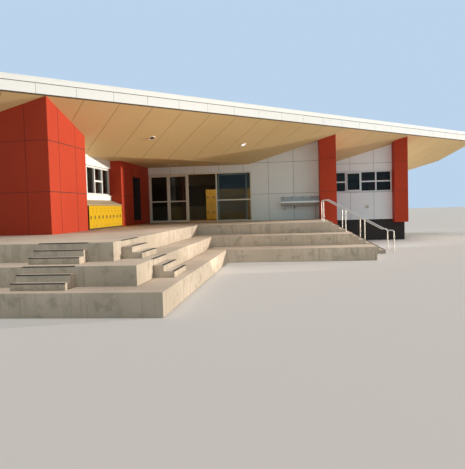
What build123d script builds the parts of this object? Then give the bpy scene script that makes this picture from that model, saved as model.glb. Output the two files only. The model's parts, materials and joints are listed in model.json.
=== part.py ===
"""A school building with a raised, pleated eave over a terraced entrance court.

Millimetres, +X right along the terrace fronts, +Y back into the building, +Z up.
The origin is on the ground under the front right corner of the entrance deck.
The walls step back bay by bay along a roof edge that runs across them at an angle.
"""

from math import cos, radians, sin, tan
import os

from build123d import *

os.makedirs("parts", exist_ok=True)

# Levels
riser = 140
risers_per_tier = 3
base_height = 480                      # lower tier above the lowest ground
tier_height = riser * risers_per_tier
lower_top = base_height
middle_top = lower_top + tier_height
floor_z = middle_top + tier_height     # the deck and the inside floor
slab_thickness = 150
head_height = 2530                     # doors and windows, above the floor
sill_height = 1360
ceiling_height = 2890
eave_rise = 1410                       # soffit edge above the porch ceiling
fascia_height = 540
capping_height = 180
head_z = floor_z + head_height
sill_z = floor_z + sill_height
ceiling_z = floor_z + ceiling_height
eave_z = ceiling_z + eave_rise
wing_top_drop = 812                    # wall tops under the pleats, below the eave
court_top_drop = 366
bay_low_drop = 1306
bay_top_drop = 369

# Plan: the terraces wrap the deck's corner at the origin
tread_front_upper = 900
tread_front_lower = 760
tread_side_upper = 790
tread_side_lower = 720
tread_court = 1220
court_y = 10100                        # deck edge on the right-hand side
deck_right_x = 5520
tier_end_step = 680                    # each lower tier runs on this much further right

# Roof edge: a level line across the plan, square-cut at its right-hand tip
left_x = -6530
court_x = -3550                        # face of the bright return, lockers and portal
wing_y = 4340                          # face of the dark red wing wall
wing_setback = 16                      # wing corner in from the roof edge
edge_angle = 43.6
tip_overhang = 4850                    # of the tip beyond the right wall
soffit_fall = 0.41                     # drop per unit of distance in from the edge
lining = 18
fascia_thickness = 60
roof_thickness = 120
roof_gap = 80                          # roof underside above the soffit edge
roof_room = 124                        # roof underside above the inside ceiling, at its lowest
capping_proud = 15
end_panel = 40
crease_run = 6010                      # pleats, along the terrace from the left pillar
rise_run = 3480
wing_crease_run = 1137                 # in front of the wing wall, at the party wall
bay_crease_run = 2150                  # in front of the bay wall, on the left pillar
edge_tan = tan(radians(edge_angle))
inward = Vector(-sin(radians(edge_angle)), cos(radians(edge_angle)), 0)
edge_y_at_origin = wing_y - wing_setback - edge_tan * court_x


def edge_y(x):
    """The roof edge's place in Y."""
    return edge_y_at_origin + edge_tan * x


def inset(x, y):
    """How far a point lies in from the roof edge."""
    return inward.X * x + inward.Y * (y - edge_y_at_origin)


# Plan: the walls step back behind the roof edge
return_length = 2850
locker_run = 3850
portal_length = 4300
pillar_left_x = 5280
pillar_left_width = 780
pillar_left_depth = 1100               # in front of the white wall
bay_width = 3360
pillar_right_width = 700
pillar_right_setback = 198
pillar_right_depth = 700               # in front of the window bay
bay_depth = 5400
wall_thickness = 200
plinth_setback = 50
pillar_drop = 330                      # cladding hangs below the floor line
locker_recess = 480
return_end_y = wing_y + return_length
portal_y = return_end_y + locker_run
entry_y = portal_y + portal_length
pillar_left_end = pillar_left_x + pillar_left_width
pillar_left_y = entry_y - pillar_left_depth
pillar_right_x = pillar_left_end + bay_width
right_x = pillar_right_x + pillar_right_width
pillar_right_y = edge_y(right_x) + pillar_right_setback
bay_y = pillar_right_y + pillar_right_depth
back_y = bay_y + bay_depth
tip_x = right_x + tip_overhang
locker_wall_x = court_x - locker_recess
portal_back_x = locker_wall_x - wall_thickness

# Windows
window_depth = 80
window_member = 75                     # face width of the frames
locker_window_start = 500              # along the locker wall
back_window_starts = [-6100, -3300, 1600, 6300]
row_lights = 4                         # lights in each front row of windows
back_lights = 3
back_window_width = 2520
back_sill_height = 960
back_window_height = 1140

# Entrance: hinged pair, open bay and fixed pane
entrance_right_x = 1850
frame_width = 60
frame_depth = 110
frame_setback = 40
pair_width = 2110
open_width = 1450
door_gap = 6
stile = 80
rail_height = 100
leaf_thickness = 45
glass_thickness = 10
midrail_height = 1070
floor_gap = 10
meeting_gap = 10
hinge_radius = 12
hinge_pin_radius = 6
hinge_length = 60
hinge_cap = 20
hinge_stand_off = 14
hinge_lug_start = 8                    # lugs, from the hinge's axis
hinge_lug_end = 28
hinge_heights = [250, 1150, 2150]
pull_height = 1020                     # middle of the handles above the floor
pull_length = 300
pull_reach = 45
pull_radius = 10
flush_pull_width = 40
flush_pull_proud = 3
fit_clearance = 0.05
face_clearance = 0.3
slide_gap = 15
slide_overlap = 80
slide_parked = 20
hanger_length = 80
hanger_width = 24
track_wall = 12

# Niche in the portal
niche_start = 1650
niche_width = 1150
niche_foot = 210
niche_height = 2070
niche_depth = 350

# Lockers
locker_depth = 450
locker_height = 920
locker_gap = 200                       # side gap before the first locker
locker_count = 9
locker_top_rise = 240
locker_top_lip = 30
locker_door_gap = 6
locker_joint_depth = 12
locker_kick = 60
inside_locker_x = -1000
inside_locker_width = 2800
inside_locker_setback = 2860
inside_locker_height = 1800

# Steps, stair and handrails
flight_going = 240
front_flight_width = 1150
side_flight_width = 1250
front_flight_upper_x = -1735
front_flight_lower_x = -1650
side_flight_upper_y = 550
side_flight_lower_y = 320
stair_risers = 9
stair_going = 260
stair_width = 2300
rail_radius = 21
rail_bend = 84
rail_height_above = 900
rail_near = 600                        # handrails, back from the stair's front side
rail_far = 2020
rail_overrun = 310                     # they start this far back on the deck
rail_turn_setback = 80
rail_foot_level = 260                  # level run at their foot
post_goings = [2.25, 5.2]              # posts between the ends, in goings from the deck

# Drinking trough
trough_left_x = 3350
trough_depth = 380
trough_height = 200
trough_z = floor_z + 925
trough_wall = 12
trough_toe = 60                        # the front leans in this much at the bottom
trough_bend = 30
trough_lip = 14
splash_height = 235
waste_radius = 22
waste_drop = 120
trough_leg_radius = 18
trough_leg_setback = 90
trough_leg_back = 70
weld_depth = 2
tap_count = 4
tap_offset = 0.25                      # of the pitch, to the first tap
tap_radius = 11
tap_reach = 110
tap_drop = 55
tap_body_radius = 15
tap_lever_length = 80
tap_lever_width = 24
tap_lever_thickness = 8

# Lights
light_radius = 90
light_drop = 14
soffit_light_places = [(-1500, 8900), (1800, 12100)]
porch_light_places = [(-2150, 13900), (-1750, 13900)]
bulkhead_x = 8050
bulkhead_height = 540
bulkhead_depth = 60


def rect(x0, y0, x1, y1):
    """Corners of an upright rectangle."""
    return [(x0, y0), (x1, y0), (x1, y1), (x0, y1)]


def front_plane(y):
    """A sketch plane that faces the front, drawn in X and Z."""
    return Plane(origin=(0, y, 0), x_dir=(1, 0, 0), z_dir=(0, -1, 0))


def side_plane(x):
    """A sketch plane that faces right, drawn in Y and Z."""
    return Plane(origin=(x, 0, 0), x_dir=(0, 1, 0), z_dir=(1, 0, 0))


def soffit_z(x, y):
    """Height of the main soffit over a plan point."""
    return eave_z - soffit_fall * inset(x, y)


def falling_plane(height_at_edge, fall):
    """A plane that falls away from the roof edge, its normal up."""
    normal = Vector(inward.X * fall, inward.Y * fall, 1)
    return Plane(origin=(0, edge_y_at_origin, height_at_edge), z_dir=normal)


def plane_through(a, b, c):
    """The plane through three points, its normal up."""
    normal = (Vector(*b) - Vector(*a)).cross(Vector(*c) - Vector(*a))
    return Plane(origin=a, z_dir=normal if normal.Z > 0 else -normal)


def raised(plane, height):
    """The same plane moved straight up."""
    return Plane(origin=plane.origin + Vector(0, 0, height), z_dir=plane.z_dir)


def plate(outline, plane, thickness):
    """A sheet over a plan outline that follows a plane."""
    with BuildPart() as sheet:
        with BuildSketch(Plane.XY.offset(floor_z)):
            Polygon(*outline, align=None)
        extrude(amount=eave_z)
        split(bisect_by=plane, keep=Keep.TOP)
        split(bisect_by=raised(plane, thickness), keep=Keep.BOTTOM)
    return sheet


def tube(points, radius):
    """A round bar along straight runs with mitred corners."""
    with BuildPart() as bar:
        with BuildLine() as route:
            Polyline(*points)
        with BuildSketch(Plane(origin=route.line @ 0, z_dir=route.line % 0)):
            Circle(radius)
        sweep(path=route.line, transition=Transition.RIGHT)
    return bar


def save(piece, name):
    """Label a finished piece and write it."""
    piece.part.label = name
    export_step(piece.part, f"parts/{name}.step")


main_plane = falling_plane(eave_z, soffit_fall)
roof_drop = eave_z + roof_gap - ceiling_z - lining - roof_room
roof_plane = falling_plane(eave_z + roof_gap, roof_drop / inset(left_x, back_y))

# Terraces

deck_outline = [(left_x, 0), (0, 0), (0, court_y), (deck_right_x, court_y),
                (deck_right_x, pillar_left_y), (pillar_left_x, pillar_left_y),
                (pillar_left_x, entry_y), (court_x, entry_y), (court_x, wing_y), (left_x, wing_y)]
with BuildPart() as deck:
    with BuildSketch(Plane.XY):
        Polygon(*deck_outline, align=None)
    extrude(amount=floor_z)
save(deck, "deck")

middle_y = -tread_front_upper
middle_x = tread_side_upper
middle_court_y = court_y - tread_court
middle_end_x = deck_right_x + tier_end_step
with BuildPart() as middle_tier:
    with BuildSketch(Plane.XY):
        Polygon((left_x, middle_y), (middle_x, middle_y), (middle_x, middle_court_y),
                (middle_end_x, middle_court_y), (middle_end_x, court_y), (0, court_y), (0, 0),
                (left_x, 0), align=None)
    extrude(amount=middle_top)
save(middle_tier, "middle_tier")

lower_y = middle_y - tread_front_lower
lower_x = middle_x + tread_side_lower
lower_court_y = middle_court_y - tread_court
lower_end_x = middle_end_x + tier_end_step
with BuildPart() as lower_tier:
    with BuildSketch(Plane.XY):
        Polygon((left_x, lower_y), (lower_x, lower_y), (lower_x, lower_court_y),
                (lower_end_x, lower_court_y), (lower_end_x, middle_court_y),
                (middle_x, middle_court_y), (middle_x, middle_y), (left_x, middle_y), align=None)
    extrude(amount=lower_top)
save(lower_tier, "lower_tier")


def flight_profile(edge, foot, top, outward):
    """Stepped outline of a short flight that stands against a tier's edge."""
    points = [(edge, foot), (edge, top - riser)]
    reach = edge
    for step in range(1, risers_per_tier):
        reach += outward * flight_going
        points.append((reach, top - step * riser))
        points.append((reach, foot if step == risers_per_tier - 1 else top - (step + 1) * riser))
    return points


with BuildPart() as terrace_steps:
    for flight_x, edge, top in ((front_flight_upper_x, 0, floor_z),
                                (front_flight_lower_x, middle_y, middle_top)):
        with BuildSketch(side_plane(flight_x + front_flight_width)):
            Polygon(*flight_profile(edge, top - tier_height, top, -1), align=None)
        extrude(amount=-front_flight_width)
    for flight_y, edge, top in ((side_flight_upper_y, 0, floor_z),
                                (side_flight_lower_y, middle_x, middle_top)):
        with BuildSketch(front_plane(flight_y)):
            Polygon(*flight_profile(edge, top - tier_height, top, 1), align=None)
        extrude(amount=-side_flight_width)
save(terrace_steps, "terrace_steps")

# The right-hand stair drops from the deck to the ground beside the bay

stair_riser = floor_z / stair_risers
stair_points = [(deck_right_x, 0), (deck_right_x, floor_z - stair_riser)]
for step in range(1, stair_risers):
    nosing = deck_right_x + step * stair_going
    stair_points.append((nosing, floor_z - step * stair_riser))
    stair_points.append((nosing, floor_z - min(step + 1, stair_risers) * stair_riser))
with BuildPart() as right_stair:
    with BuildSketch(front_plane(court_y)):
        Polygon(*stair_points, align=None)
    extrude(amount=-stair_width)
save(right_stair, "right_stair")

stair_slope = stair_riser / stair_going
rail_top = floor_z + rail_height_above
rail_start_x = deck_right_x - rail_overrun
rail_turn_x = deck_right_x - rail_turn_setback
rail_bend_x = rail_turn_x + (rail_top - rail_height_above) / stair_slope
rail_end_x = rail_bend_x + rail_foot_level


def stair_top(x):
    """Height of the walking surface under a handrail post."""
    if x < deck_right_x:
        return floor_z
    step = int((x - deck_right_x) // stair_going) + 1
    return floor_z - min(step, stair_risers) * stair_riser


def rail_line(x):
    """Height of the handrail's centre line."""
    fall = (x - rail_turn_x) * stair_slope
    return rail_top - min(max(fall, 0), rail_top - rail_height_above)


inner_posts = [deck_right_x + goings * stair_going for goings in post_goings]
rail_corners = [(rail_start_x, rail_top), (rail_turn_x, rail_top), (rail_bend_x, rail_height_above),
                (rail_end_x, rail_height_above)]
with BuildPart() as handrails:
    for rail_y in (court_y + rail_near, court_y + rail_far):
        with BuildLine(front_plane(rail_y)) as run:
            FilletPolyline(*rail_corners, radius=rail_bend)
        with BuildSketch(Plane(origin=run.line @ 0, z_dir=run.line % 0)):
            Circle(rail_radius)
        sweep(path=run.line)
        for x in (rail_start_x, *inner_posts, rail_end_x):
            with BuildSketch(Plane.XY.offset(stair_top(x))):
                with Locations((x, rail_y)):
                    Circle(rail_radius)
            extrude(amount=rail_line(x) - stair_top(x))
save(handrails, "handrails")

# Base: dark block plinth and the floor slab

plinth_top = floor_z - slab_thickness
plinth_face_y = bay_y + plinth_setback
plinth_right_x = right_x - plinth_setback
plinth_back_y = back_y - plinth_setback
plinth_left_x = left_x + plinth_setback
with BuildPart() as plinth:
    with BuildSketch(Plane.XY):
        Polygon(*rect(pillar_left_end, plinth_face_y, plinth_right_x, plinth_face_y + wall_thickness),
                align=None)
        Polygon(*rect(plinth_right_x - wall_thickness, plinth_face_y, plinth_right_x, plinth_back_y),
                align=None)
        Polygon(*rect(plinth_left_x, plinth_back_y - wall_thickness, plinth_right_x, plinth_back_y),
                align=None)
        Polygon(*rect(plinth_left_x, wing_y, plinth_left_x + wall_thickness, plinth_back_y),
                align=None)
    extrude(amount=plinth_top)
    with BuildSketch(Plane.XY):
        Polygon(*rect(pillar_left_x + plinth_setback, pillar_left_y + plinth_setback,
                      pillar_left_end, bay_y + wall_thickness), align=None)
    extrude(amount=floor_z - pillar_drop)
save(plinth, "plinth")

inner_bay_y = bay_y + wall_thickness
slab_outline = [(left_x, wing_y), (court_x, wing_y), (court_x, entry_y), (pillar_left_x, entry_y),
                (pillar_left_x, inner_bay_y), (right_x, inner_bay_y), (right_x, back_y), (left_x, back_y)]
with BuildPart() as floor_slab:
    with BuildSketch(Plane.XY.offset(floor_z - slab_thickness)):
        Polygon(*slab_outline, align=None)
    extrude(amount=slab_thickness)
save(floor_slab, "floor_slab")

# Walls: slabs that stand on the floor and run up to the roof


def under_roof(plane, outline, openings=(), foot=floor_z, top=roof_plane):
    """A wall drawn on its outer face, cut under the roof, with its openings cut through."""
    (u0, u1) = outline
    with BuildPart() as wall:
        with BuildSketch(plane):
            Polygon(*rect(u0, foot, u1, eave_z + fascia_height), align=None)
            for opening in openings:
                Polygon(*rect(*opening), align=None, mode=Mode.SUBTRACT)
        extrude(amount=-wall_thickness)
        split(bisect_by=top, keep=Keep.BOTTOM)
    return wall


save(under_roof(front_plane(wing_y), (left_x + wall_thickness, court_x - wall_thickness)),
     "wing_front_wall")
save(under_roof(side_plane(court_x), (wing_y, return_end_y), top=main_plane), "wing_return_wall")

locker_window = (return_end_y + locker_window_start, sill_z, portal_y, head_z)
save(under_roof(side_plane(locker_wall_x), (return_end_y, portal_y), [locker_window]), "locker_wall")

# The portal is one thick red block with a recessed niche
portal_back_y = entry_y + wall_thickness
niche_y = portal_y + niche_start
niche_low = floor_z + niche_foot
niche_high = niche_low + niche_height
with BuildPart() as portal_wall:
    with BuildSketch(Plane.XY.offset(floor_z)):
        Polygon(*rect(portal_back_x, portal_y, court_x, portal_back_y), align=None)
    extrude(amount=eave_z - floor_z)
    with BuildSketch(side_plane(court_x)):
        Polygon(*rect(niche_y, niche_low, niche_y + niche_width, niche_high), align=None)
    extrude(amount=-niche_depth, mode=Mode.SUBTRACT)
    split(bisect_by=roof_plane, keep=Keep.BOTTOM)
save(portal_wall, "portal_wall")

save(under_roof(front_plane(entry_y), (court_x, entrance_right_x), foot=head_z), "over_door_wall")
save(under_roof(front_plane(entry_y), (entrance_right_x, pillar_left_x)), "white_wall")

with BuildPart() as left_pillar:
    with BuildSketch(Plane.XY.offset(floor_z - pillar_drop)):
        Polygon(*rect(pillar_left_x, pillar_left_y, pillar_left_end, inner_bay_y), align=None)
    extrude(amount=eave_z - floor_z + pillar_drop)
    split(bisect_by=roof_plane, keep=Keep.BOTTOM)
save(left_pillar, "left_pillar")

bay_window = (pillar_left_end, sill_z, pillar_right_x, head_z)
with BuildPart() as bay_wall:
    with BuildSketch(front_plane(bay_y)):
        Polygon(*rect(pillar_left_end, plinth_top, pillar_right_x, eave_z), align=None)
        Polygon(*rect(*bay_window), align=None, mode=Mode.SUBTRACT)
    extrude(amount=-wall_thickness)
    split(bisect_by=roof_plane, keep=Keep.BOTTOM)
save(bay_wall, "bay_wall")

with BuildPart() as right_pillar:
    with BuildSketch(Plane.XY.offset(floor_z - pillar_drop)):
        Polygon(*rect(pillar_right_x, pillar_right_y, right_x, bay_y), align=None)
    extrude(amount=eave_z - floor_z + pillar_drop)
    with BuildSketch(Plane.XY.offset(plinth_top)):
        Polygon(*rect(pillar_right_x, bay_y - wall_thickness, right_x, inner_bay_y), align=None)
    extrude(amount=eave_z - plinth_top)
    split(bisect_by=roof_plane, keep=Keep.BOTTOM)
save(right_pillar, "right_pillar")

back_sill_z = floor_z + back_sill_height
back_head_z = back_sill_z + back_window_height
back_windows = [(x, back_sill_z, x + back_window_width, back_head_z) for x in back_window_starts]
save(under_roof(side_plane(right_x), (inner_bay_y, back_y)), "right_wall")
back_plane = front_plane(back_y - wall_thickness)
save(under_roof(back_plane, (left_x + wall_thickness, right_x - wall_thickness), back_windows),
     "back_wall")
save(under_roof(side_plane(left_x + wall_thickness), (wing_y, back_y)), "left_wall")

# Windows: a frame with mullions, and one sheet of glass behind each row


def window_frame(plane, opening, lights, transoms=()):
    """Outer frame and mullions, set in the middle of the wall."""
    u0, low, u1, high = opening
    pitch = (u1 - u0 - window_member) / lights
    with BuildPart() as frame:
        with BuildSketch(plane.offset(-(wall_thickness - window_depth) / 2)):
            Polygon(*rect(u0, low, u1, high), align=None)
            for light in range(lights):
                start = u0 + window_member + light * pitch
                split_z = [low + window_member, high - window_member]
                if light in transoms:
                    middle = (low + high) / 2
                    split_z = [low + window_member, middle - window_member / 2,
                               middle + window_member / 2, high - window_member]
                for bottom, top in zip(split_z[::2], split_z[1::2]):
                    Polygon(*rect(start, bottom, start + pitch - window_member, top), align=None,
                            mode=Mode.SUBTRACT)
        extrude(amount=-window_depth)
    return frame


def glass_sheet(plane, opening):
    """One sheet just inside the frame."""
    u0, low, u1, high = opening
    with BuildPart() as glass:
        with BuildSketch(plane.offset(-(wall_thickness + window_depth) / 2)):
            Polygon(*rect(u0, low, u1, high), align=None)
        extrude(amount=-glass_thickness)
    return glass


locker_plane = side_plane(locker_wall_x)
bay_plane = front_plane(bay_y)
with BuildPart() as window_frames:
    add(window_frame(locker_plane, locker_window, row_lights, transoms=(2,)).part)
    add(window_frame(bay_plane, bay_window, row_lights, transoms=(0, 2, 3)).part)
    for opening in back_windows:
        add(window_frame(back_plane, opening, back_lights, transoms=(1,)).part)
save(window_frames, "window_frames")
with BuildPart() as window_glass:
    add(glass_sheet(locker_plane, locker_window).part)
    add(glass_sheet(bay_plane, bay_window).part)
    for opening in back_windows:
        add(glass_sheet(back_plane, opening).part)
save(window_glass, "window_glass")

# Entrance frame, its hinged pair, fixed pane and sliding leaf

frame_face_y = entry_y + frame_setback
entry_plane = front_plane(frame_face_y)
pair_x0 = court_x + frame_width
pair_x1 = pair_x0 + pair_width - 2 * frame_width
open_x0 = pair_x1 + frame_width
open_x1 = open_x0 + open_width
fixed_x0 = open_x1 + frame_width
fixed_x1 = entrance_right_x - frame_width
clear_top = head_z - frame_width
fixed_panes = [rect(fixed_x0, floor_z + frame_width, fixed_x1, floor_z + midrail_height),
               rect(fixed_x0, floor_z + midrail_height + frame_width, fixed_x1, clear_top)]
with BuildPart() as fixed_glass:
    with BuildSketch(front_plane(frame_face_y + (frame_depth - glass_thickness) / 2)):
        for pane in fixed_panes:
            Polygon(*pane, align=None)
    extrude(amount=-glass_thickness)
save(fixed_glass, "fixed_glass")


def leaf_openings(x0, x1, low, high):
    """The two glazed openings of a leaf, under and over its middle rail."""
    middle = floor_z + midrail_height
    return [rect(x0 + stile, low + rail_height, x1 - stile, middle),
            rect(x0 + stile, middle + frame_width, x1 - stile, high - stile)]


def leaf_outline(x0, x1):
    """Sketch content of a leaf: its outline less the glazed openings."""
    with BuildSketch(Plane.XY) as outline:
        Polygon(*rect(x0, leaf_low, x1, leaf_high), align=None)
        for opening in leaf_openings(x0, x1, leaf_low, leaf_high):
            Polygon(*opening, align=None, mode=Mode.SUBTRACT)
    return outline.sketch


def leaf_panes(x0, x1):
    """Sketch content of a leaf's two panes."""
    with BuildSketch(Plane.XY) as panes:
        for opening in leaf_openings(x0, x1, leaf_low, leaf_high):
            Polygon(*opening, align=None)
    return panes.sketch


leaf_low = floor_z + floor_gap
leaf_high = clear_top - door_gap
leaf_middle = (pair_x0 + pair_x1) / 2
leaf_face_y = frame_face_y + door_gap
left_leaf = (pair_x0 + door_gap, leaf_middle - meeting_gap / 2)
right_leaf = (leaf_middle + meeting_gap / 2, pair_x1 - door_gap)
left_hinge_x = pair_x0 + door_gap / 2
right_hinge_x = pair_x1 - door_gap / 2
hinge_y = frame_face_y - hinge_stand_off
for name, leaf_range, hinge_x, outward in (("left_door", left_leaf, left_hinge_x, 1),
                                           ("right_door", right_leaf, right_hinge_x, -1)):
    with BuildPart() as leaf:
        with BuildSketch(front_plane(leaf_face_y)):
            add(leaf_outline(*leaf_range))
        extrude(amount=-leaf_thickness)
        for height in hinge_heights:
            with BuildSketch(Plane.XY.offset(floor_z + height)):
                with Locations((hinge_x, hinge_y)):
                    Circle(hinge_radius)
                lug_x = [hinge_x + outward * hinge_lug_start, hinge_x + outward * hinge_lug_end]
                Polygon(*rect(min(lug_x), hinge_y, max(lug_x), leaf_face_y), align=None)
                with Locations((hinge_x, hinge_y)):
                    Circle(hinge_pin_radius + fit_clearance, mode=Mode.SUBTRACT)
            extrude(amount=hinge_length)
    save(leaf, name)
    with BuildPart() as leaf_glass:
        with BuildSketch(front_plane(leaf_face_y + (leaf_thickness - glass_thickness) / 2)):
            add(leaf_panes(*leaf_range))
        extrude(amount=-glass_thickness)
    save(leaf_glass, f"{name}_glass")
    pull_x = leaf_range[1] - stile / 2 if outward > 0 else leaf_range[0] + stile / 2
    pull_low = floor_z + pull_height - pull_length / 2
    pull_y = leaf_face_y - pull_reach
    with BuildPart() as pull:
        add(tube([(pull_x, leaf_face_y, pull_low), (pull_x, pull_y, pull_low),
                  (pull_x, pull_y, pull_low + pull_length), (pull_x, leaf_face_y, pull_low + pull_length)],
                 pull_radius).part)
    save(pull, f"{name}_pull")

with BuildPart() as entrance_frame:
    with BuildSketch(entry_plane):
        Polygon(*rect(court_x, floor_z, entrance_right_x, head_z), align=None)
        for start, end in ((pair_x0, pair_x1), (open_x0, open_x1)):
            Polygon(*rect(start, floor_z, end, clear_top), align=None, mode=Mode.SUBTRACT)
        for pane in fixed_panes:
            Polygon(*pane, align=None, mode=Mode.SUBTRACT)
    extrude(amount=-frame_depth)
    for hinge_x, outward in ((left_hinge_x, -1), (right_hinge_x, 1)):
        lug_x = [hinge_x + outward * hinge_lug_start, hinge_x + outward * hinge_lug_end]
        for height in hinge_heights:
            for low, length in ((height - face_clearance - hinge_cap, hinge_cap),
                                (height + hinge_length + face_clearance, hinge_cap)):
                with BuildSketch(Plane.XY.offset(floor_z + low)):
                    with Locations((hinge_x, hinge_y)):
                        Circle(hinge_radius)
                    Polygon(*rect(min(lug_x), hinge_y, max(lug_x), frame_face_y), align=None)
                extrude(amount=length)
            with BuildSketch(Plane.XY.offset(floor_z + height - hinge_cap)):
                with Locations((hinge_x, hinge_y)):
                    Circle(hinge_pin_radius)
            extrude(amount=hinge_length + 2 * hinge_cap)
save(entrance_frame, "entrance_frame")

# The sliding leaf hangs inside the frame, parked behind the fixed pane

slide_x0 = fixed_x0 + slide_parked
slide_x1 = slide_x0 + open_width + slide_overlap
slide_face_y = frame_face_y + frame_depth + slide_gap
slide_middle_y = slide_face_y + leaf_thickness / 2
with BuildPart() as sliding_door:
    with BuildSketch(front_plane(slide_face_y)):
        add(leaf_outline(slide_x0, slide_x1))
    extrude(amount=-leaf_thickness)
    with BuildSketch(Plane.XY.offset(leaf_high)):
        for hanger_x in (slide_x0 + stile, slide_x1 - stile - hanger_length):
            Polygon(*rect(hanger_x, slide_middle_y - hanger_width / 2 + face_clearance,
                          hanger_x + hanger_length, slide_middle_y + hanger_width / 2 - face_clearance),
                    align=None)
    extrude(amount=head_z - track_wall - face_clearance - leaf_high)
save(sliding_door, "sliding_door")
with BuildPart() as sliding_door_glass:
    with BuildSketch(front_plane(slide_face_y + (leaf_thickness - glass_thickness) / 2)):
        add(leaf_panes(slide_x0, slide_x1))
    extrude(amount=-glass_thickness)
save(sliding_door_glass, "sliding_door_glass")
with BuildPart() as sliding_door_pull:
    with BuildSketch(front_plane(slide_face_y)):
        with Locations((slide_x0 + stile / 2, floor_z + pull_height)):
            Rectangle(flush_pull_width, pull_length)
            Rectangle(flush_pull_width / 2, pull_length - flush_pull_width / 2, mode=Mode.SUBTRACT)
    extrude(amount=flush_pull_proud)
save(sliding_door_pull, "sliding_door_pull")

track_x0 = open_x0 - slide_overlap
track_x1 = slide_x1 + slide_overlap
track_half = hanger_width / 2 + track_wall
with BuildPart() as door_track:
    with BuildSketch(side_plane(track_x0)):
        Polygon(*rect(slide_middle_y - track_half, leaf_high + door_gap,
                      slide_middle_y + track_half, head_z), align=None)
        Polygon(*rect(slide_middle_y - hanger_width / 2, leaf_high + door_gap,
                      slide_middle_y + hanger_width / 2, head_z - track_wall), align=None,
                mode=Mode.SUBTRACT)
    extrude(amount=track_x1 - track_x0)
save(door_track, "door_track")

# Lockers under the recessed windows, and a second row just inside the entrance

locker_y0 = return_end_y + locker_gap
locker_y1 = portal_y
locker_pitch = (locker_y1 - locker_y0) / locker_count
locker_front_x = locker_wall_x + locker_depth
with BuildPart() as lockers:
    with BuildSketch(side_plane(locker_wall_x)):
        Polygon(*rect(locker_y0, floor_z, locker_y1, floor_z + locker_height), align=None)
    extrude(amount=locker_depth)
    with BuildSketch(side_plane(locker_front_x)):
        for door in range(1, locker_count):
            joint_y = locker_y0 + door * locker_pitch
            Polygon(*rect(joint_y - locker_door_gap / 2, floor_z + locker_kick,
                          joint_y + locker_door_gap / 2, floor_z + locker_height), align=None)
    extrude(amount=-locker_joint_depth, mode=Mode.SUBTRACT)
save(lockers, "lockers")

with BuildPart() as locker_top:
    with BuildSketch(front_plane(return_end_y)):
        Polygon((locker_wall_x, floor_z + locker_height), (court_x, floor_z + locker_height),
                (court_x, floor_z + locker_height + locker_top_lip),
                (locker_wall_x, floor_z + locker_height + locker_top_rise), align=None)
    extrude(amount=return_end_y - locker_y1)
save(locker_top, "locker_top")

inside_locker_y = entry_y + inside_locker_setback
with BuildPart() as inside_lockers:
    with BuildSketch(Plane.XY.offset(floor_z)):
        Polygon(*rect(inside_locker_x, inside_locker_y, inside_locker_x + inside_locker_width,
                      inside_locker_y + locker_depth), align=None)
    extrude(amount=inside_locker_height)
save(inside_lockers, "inside_lockers")

# Drinking trough on the white wall

trough_right_x = pillar_left_x
trough_front_y = entry_y - trough_depth
trough_low = trough_z - trough_height
splash_top = trough_z + splash_height
splash_face_y = entry_y - trough_wall
toe_y = trough_front_y + trough_toe
bowl_toe = (toe_y + trough_wall, trough_low + trough_wall)
leg_z = trough_low - trough_leg_radius + weld_depth
leg_y = toe_y + trough_leg_back
leg_left_x = trough_left_x + trough_leg_setback
leg_right_x = trough_right_x - trough_leg_setback
waste_x = (trough_left_x + trough_right_x) / 2
waste_y = (toe_y + entry_y) / 2
with BuildPart() as trough:
    with BuildSketch(side_plane(trough_left_x)) as section:
        Polygon((entry_y, trough_low), (entry_y, splash_top), (splash_face_y, splash_top),
                (splash_face_y, trough_z), (trough_front_y, trough_z), (toe_y, trough_low), align=None)
        fillet(section.vertices().sort_by_distance((toe_y, trough_low))[0], radius=trough_bend)
        with Locations((trough_front_y, trough_z)):
            Circle(trough_lip)
    extrude(amount=trough_right_x - trough_left_x)
    with BuildSketch(side_plane(trough_left_x + trough_wall)) as hollow:
        Polygon((splash_face_y, bowl_toe[1]), (splash_face_y, trough_z + trough_lip),
                (trough_front_y + trough_lip, trough_z + trough_lip),
                (trough_front_y + trough_lip, trough_z), bowl_toe, align=None)
        fillet(hollow.vertices().sort_by_distance(bowl_toe)[0], radius=trough_bend - trough_wall)
    extrude(amount=trough_right_x - trough_left_x - 2 * trough_wall, mode=Mode.SUBTRACT)
    add(tube([(leg_left_x, entry_y, leg_z), (leg_left_x, leg_y, leg_z), (leg_right_x, leg_y, leg_z),
              (leg_right_x, leg_y, floor_z)], trough_leg_radius).part)
    add(tube([(waste_x, waste_y, trough_low + weld_depth), (waste_x, waste_y, trough_low - waste_drop),
              (waste_x, entry_y, trough_low - waste_drop)], waste_radius).part)
save(trough, "trough")

tap_pitch = (trough_right_x - trough_left_x) / tap_count
tap_z = splash_top - 3 * tap_radius
outlet_y = splash_face_y - tap_reach
with BuildPart() as trough_taps:
    for tap in range(tap_count):
        tap_x = trough_left_x + (tap + tap_offset) * tap_pitch
        with BuildSketch(front_plane(splash_face_y)):
            with Locations((tap_x, tap_z)):
                Circle(tap_radius)
        extrude(amount=tap_reach)
        with BuildSketch(Plane.XY.offset(tap_z - tap_drop)):
            with Locations((tap_x, outlet_y)):
                Circle(tap_body_radius)
        extrude(amount=tap_drop + 2 * tap_radius)
        with BuildSketch(Plane.XY.offset(tap_z + 2 * tap_radius)):
            with Locations((tap_x, outlet_y + tap_lever_length / 4)):
                Rectangle(tap_lever_width, tap_lever_length)
        extrude(amount=tap_lever_thickness)
save(trough_taps, "trough_taps")

# Pleated soffit: the long main facet, and a rising facet over each bay

crease_depth = (eave_z - ceiling_z) / soffit_fall
crease_start_x = pillar_left_x - crease_run


def crease_line_y(x):
    """Where the main facet has come down to the porch ceiling."""
    return edge_y(x) + crease_depth / inward.Y


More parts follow.
